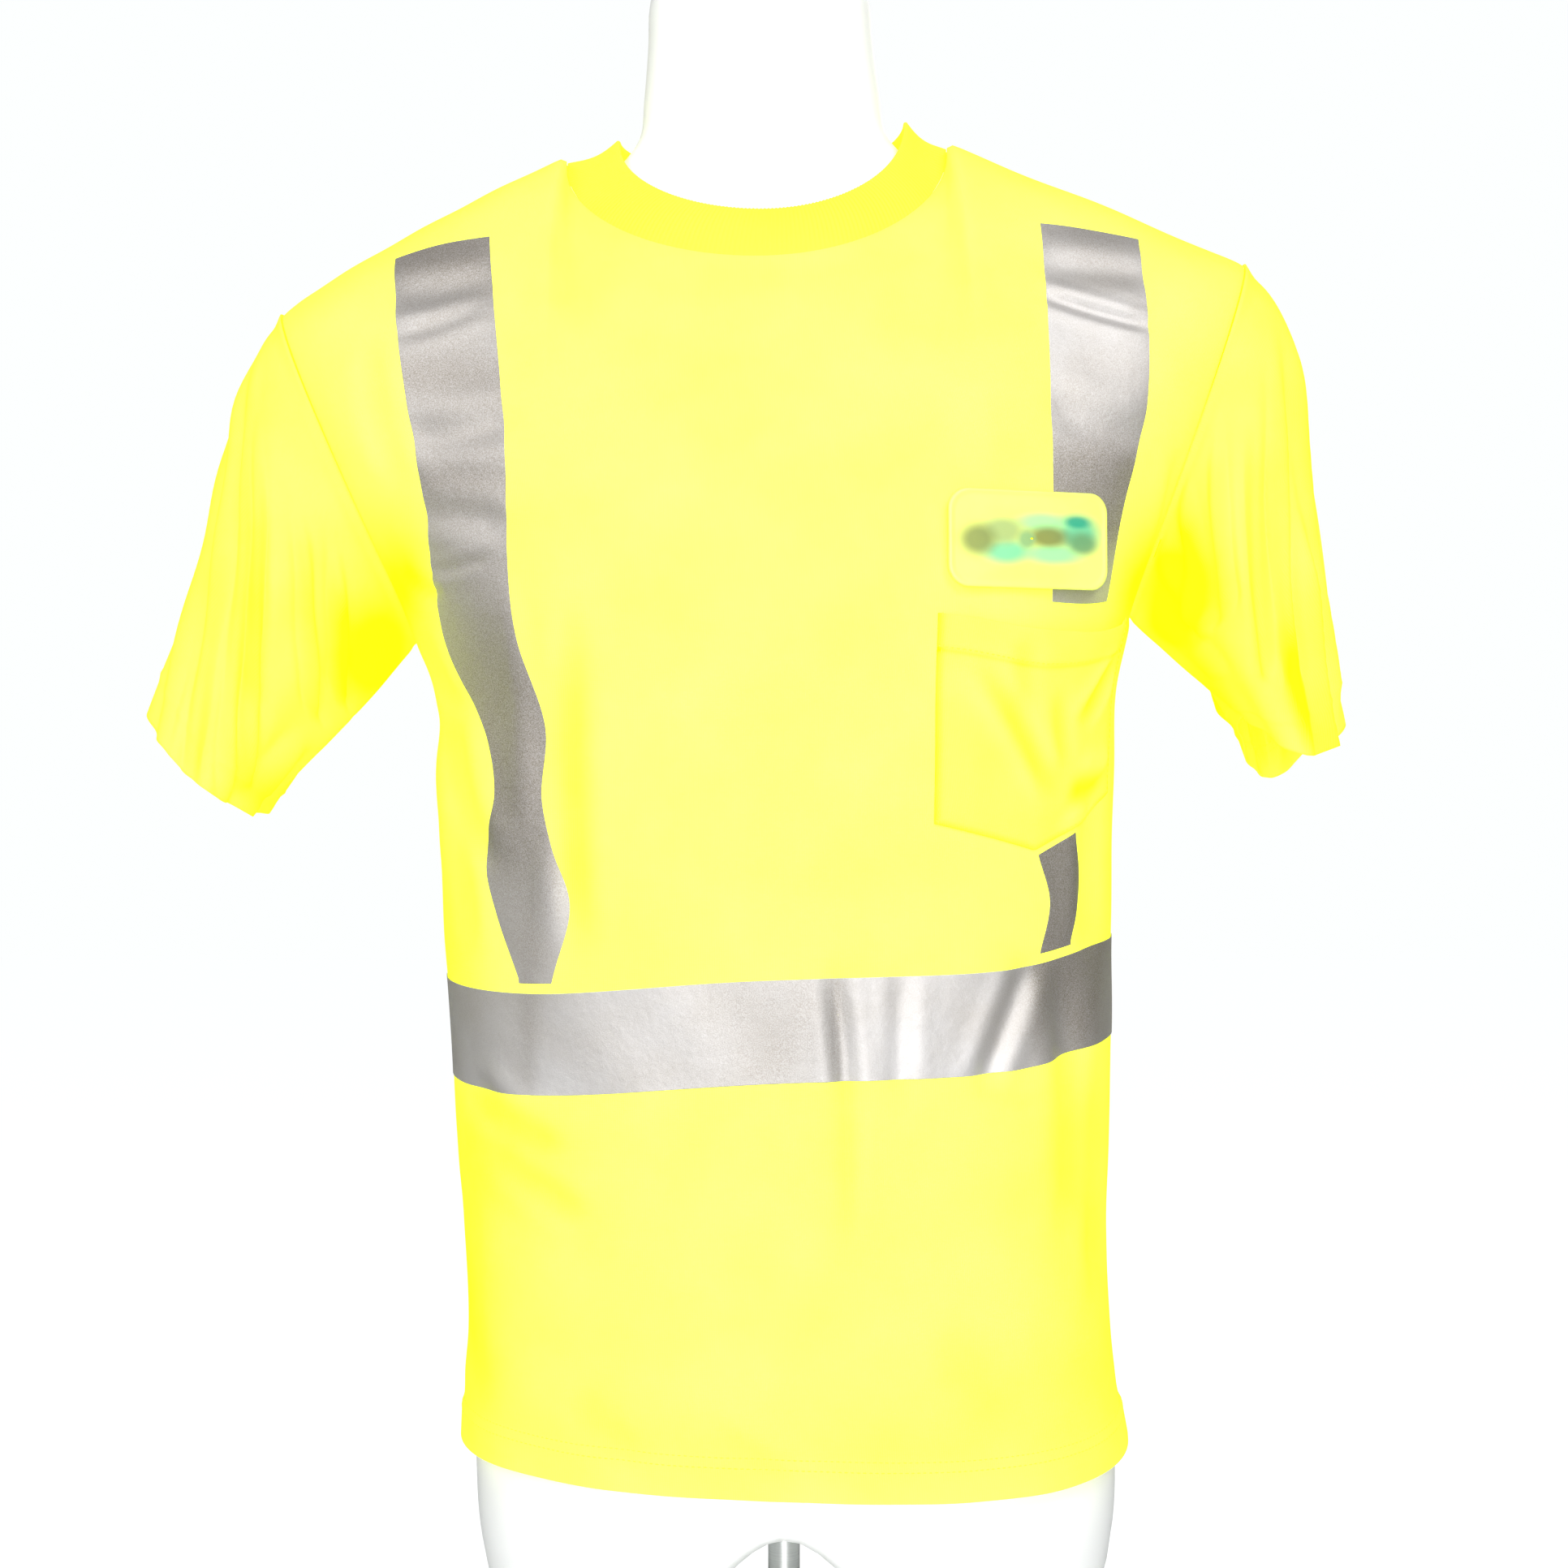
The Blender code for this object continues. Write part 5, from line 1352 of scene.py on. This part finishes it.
def form_rings(profile):
    """x = middle + half width * cos^p, y = depth * sin^p, z = height + lean * x, then the arch."""
    turn = np.arange(FORM_SIDES) / FORM_SIDES * 2 * math.pi
    cosine, sine = np.cos(turn)[None, :], np.sin(turn)[None, :]
    height, half_width, front, back, power = (profile[:, k][:, None] for k in range(5))
    middle = FORM_CENTRE - FORM_LEAN * (height - HEM_HEIGHT)
    x = half_width * np.sign(cosine) * np.abs(cosine) ** power
    y = np.where(sine < 0, front, back) * np.sign(sine) * np.abs(sine) ** power
    return np.stack([middle + x, y, height + FORM_LEAN * x], axis=-1)


def form_points():
    """All rings, with more of them shrinking to a point under the arch and on the neck cap."""
    rings = form_rings(form_profile(150))
    shrink = np.linspace(0.02, 1, 14, endpoint=False)[:, None, None]
    foot = rings[:1] * np.array([1, 1, 0]) * shrink + np.array([0, 0, FORM_RINGS[0][0]])
    rings = np.concatenate([foot, rings])
    fade = np.clip(1 - (rings[..., 2] - FORM_RINGS[0][0]) / ARCH_FADE, 0, 1)
    rings[..., 2] += ARCH_RISE * np.exp(-(rings[..., 0] / ARCH_HALF_WIDTH) ** 2) * fade
    close = np.cos(np.linspace(0, math.pi / 2, 12))[1:, None, None]
    lift = np.sin(np.linspace(0, math.pi / 2, 12))[1:, None, None]
    top = rings[-1:]
    middle = top.mean(axis=1, keepdims=True)
    crown = np.array([0, 0, FORM_TOP - FORM_RINGS[-1][0]])
    cap = middle + (top - middle) * np.maximum(close, 0.01) + lift * crown
    return np.concatenate([rings, cap])


def form_material():
    """White moulded plastic: almost even, with a thin clear gloss, the faintest orange peel and a
    painted glow that lifts it towards white.
    """
    made, tree, shader = new_material("form_white", Roughness=0.36, Specular_IOR_Level=0.45,
                                      Coat_Weight=0.12, Coat_Roughness=0.2,
                                      Emission_Color=(0.97, 1.0, 1.0, 1.0), Emission_Strength=0.22)
    tone = place_group(tree, TONE, coordinates(tree, "Object"), Patch=5.0, Speck=320.0)
    tree.links.new(mix_colours(tree, tone.outputs["Patches"], (0.90, 0.91, 0.905), (0.87, 0.88, 0.875)),
                   shader.inputs["Base Color"])
    bump(tree, shader, tone.outputs["Specks"], 0.00005, 0.3)
    return made


form = surface("form_shell", form_points(), 1, form_material(), ring=True)
settle(form, "dress_form")
print("form quads:", len(form.data.polygons))

# %% [markdown]
# ## Pole and foot
# Both are turned metal, so each is a profile of radius and height carried round the axis. The
# foot's rim is rounded, and the brushing follows the turning: noise stretched round the axis.

# %% Pole and foot
POLE_RADIUS, POLE_TOP = 0.0085, 0.3120
BASE_RADIUS, BASE_THICK, BASE_EDGE = 0.165, 0.008, 0.002


def turned(name, profile, sides, look):
    """A profile of (radius, height) points carried round Z."""
    radius, height = np.array(profile).T
    turn = np.arange(sides) / sides * 2 * math.pi
    points = np.stack([radius[:, None] * np.cos(turn), radius[:, None] * np.sin(turn),
                       height[:, None] + 0 * turn], axis=-1)
    return surface(name, points, 1, look, ring=True)


def round_rim(radius, low, high, edge, steps=6):
    """Profile of a disc or rod with rounded rims, from its lower middle to its upper middle."""
    angle = np.linspace(0, math.pi / 2, steps)
    lower = [(radius - edge + edge * math.sin(a), low + edge - edge * math.cos(a)) for a in angle]
    upper = [(radius - edge + edge * math.cos(a), high - edge + edge * math.sin(a)) for a in angle]
    return [(1e-5, low)] + lower + upper + [(1e-5, high)]


def metal_material():
    """Satin grey metal: fine scratches from noise that is long round the axis."""
    made, tree, shader = new_material("satin_metal", Metallic=0.9, Roughness=0.34)
    split = tree.nodes.new("ShaderNodeSeparateXYZ")
    tree.links.new(coordinates(tree, "Object"), split.inputs[0])
    squares = [math_node(tree, "MULTIPLY", split.outputs[axis], split.outputs[axis])
               for axis in ("X", "Y")]
    radius = math_node(tree, "SQRT", math_node(tree, "ADD", *squares))
    joined = tree.nodes.new("ShaderNodeCombineXYZ")
    tree.links.new(radius, joined.inputs["X"])
    tree.links.new(split.outputs["Z"], joined.inputs["Z"])
    tone = place_group(tree, TONE, joined.outputs[0], Patch=60.0, Speck=2200.0)
    tree.links.new(mix_colours(tree, tone.outputs["Specks"], (0.56, 0.58, 0.57), (0.66, 0.68, 0.67)),
                   shader.inputs["Base Color"])
    bump(tree, shader, tone.outputs["Specks"], 0.00002, 0.6)
    return made


METAL = metal_material()
pole = turned("pole_tube", round_rim(POLE_RADIUS, BASE_THICK + 0.0003, POLE_TOP, 0.0006), 48, METAL)
base = turned("base_disc", round_rim(BASE_RADIUS, 0.0, BASE_THICK, BASE_EDGE), 160, METAL)
for piece, node in ((pole, "pole"), (base, "base")):
    settle(piece, node)
    print(piece.name, "points:", len(piece.data.vertices))

# %% [markdown]
# ## What each sheet was cut to
# A sheet keeps its area when it is hung, so each cloth piece states the flat size of what shows
# of its cut. Comparing that with the surface is a good test that no fold has stretched it.

# %% Sheets


def flat_area(points, ring=False):
    """Area of a grid: half the length of the cross product of each quad's diagonals."""
    if ring:
        points = np.concatenate([points, points[:, :1]], axis=1)
    one = points[1:, 1:] - points[:-1, :-1]
    other = points[1:, :-1] - points[:-1, 1:]
    return float(np.linalg.norm(np.cross(one, other), axis=-1).sum() / 2)


SHEETS = [
    (front_cloth, front_points, False, (0.540, 0.720), 0.333),
    (back_cloth, back_points, False, (0.540, 0.730), 0.338),
    (sleeves[-1][0], sleeves[-1][1], True, (0.400, 0.230), 0.078),
    (sleeves[1][0], sleeves[1][1], True, (0.400, 0.230), 0.078),
    (rib, rib_points, True, (0.520, 0.060), 0.031),
    (pocket, pocket_points, False, (0.130, 0.125), 0.0150),
]
for piece, points, ring, flat, area in SHEETS:
    print(piece.name, "measures", round(flat_area(points, ring), 4), "of", area, "square metres")

# %% [markdown]
# ## Floor and light
# A shirt for sale is shown in flat, bright light: a pale floor, a white surround and
# large soft lights in front, so that the yellow nearly burns out and only the folds turn
# deeper, helped by the painted shade in the cloth's colour. A dim white world fills the shadows.
# A high key panel, one low in front, one at the left and one behind shape the folds and the form.

# %% Floor and lights


def add_floor():
    """A wide pale floor just under the foot."""
    corners = np.array([(-9, -9, -0.0004), (9, -9, -0.0004), (9, 9, -0.0004), (-9, 9, -0.0004)])
    floor = mesh_object("studio_floor", corners, np.array([[0, 1, 2, 3]]))
    made, tree, shader = new_material("pale_floor", Base_Color=(0.55, 0.56, 0.56, 1.0), Roughness=0.9,
                                      Specular_IOR_Level=0.1, Emission_Color=(0.982, 1.0, 0.998, 1.0))
    path = tree.nodes.new("ShaderNodeLightPath")
    seen = math_node(tree, "MULTIPLY", path.outputs["Is Camera Ray"], 0.95)
    tree.links.new(seen, shader.inputs["Emission Strength"])
    floor.data.materials.append(made)


def add_panel(name, place, target, size, power, colour=(1.0, 1.0, 1.0)):
    """A square soft light at a place, turned to face a target."""
    data = bpy.data.lights.new(name, "AREA")
    data.shape, data.size, data.energy, data.color = "SQUARE", size, power, colour
    light = bpy.data.objects.new(name, data)
    light.location = place
    aim = np.array(target, dtype=float) - np.array(place, dtype=float)
    flat = math.hypot(aim[0], aim[1])
    light.rotation_euler = (math.atan2(flat, -aim[2]), 0.0, math.atan2(aim[0], -aim[1]) + math.pi)
    bpy.context.scene.collection.objects.link(light)


def add_world(fill, seen):
    """A white surround: dim as light, bright where it is looked at."""
    world = bpy.data.worlds.new("white_surround")
    world.use_nodes = True
    tree = world.node_tree
    background = tree.nodes["Background"]
    background.inputs["Color"].default_value = (0.982, 1.0, 0.998, 1.0)
    path = tree.nodes.new("ShaderNodeLightPath")
    strength = tree.nodes.new("ShaderNodeMapRange")
    strength.inputs["To Min"].default_value = fill
    strength.inputs["To Max"].default_value = seen
    glossy = math_node(tree, "MULTIPLY", path.outputs["Is Glossy Ray"], 0.40)
    direct = math_node(tree, "MAXIMUM", path.outputs["Is Camera Ray"], glossy)
    tree.links.new(direct, strength.inputs["Value"])
    tree.links.new(strength.outputs["Result"], background.inputs["Strength"])
    bpy.context.scene.world = world


add_floor()
add_world(0.06, 1.0)
CHEST = (0.0, 0.0, 0.72)
add_panel("key_panel", (0.9, -2.0, 2.1), CHEST, 1.1, 34.0)
add_panel("front_light", (0.1, -2.7, 0.75), CHEST, 1.0, 50.0)
add_panel("left_light", (-1.5, -1.9, 1.8), CHEST, 1.1, 29.0)
add_panel("rear_light", (0.4, 2.6, 1.9), CHEST, 1.8, 14.0)
bpy.context.scene.view_settings.view_transform = "Standard"
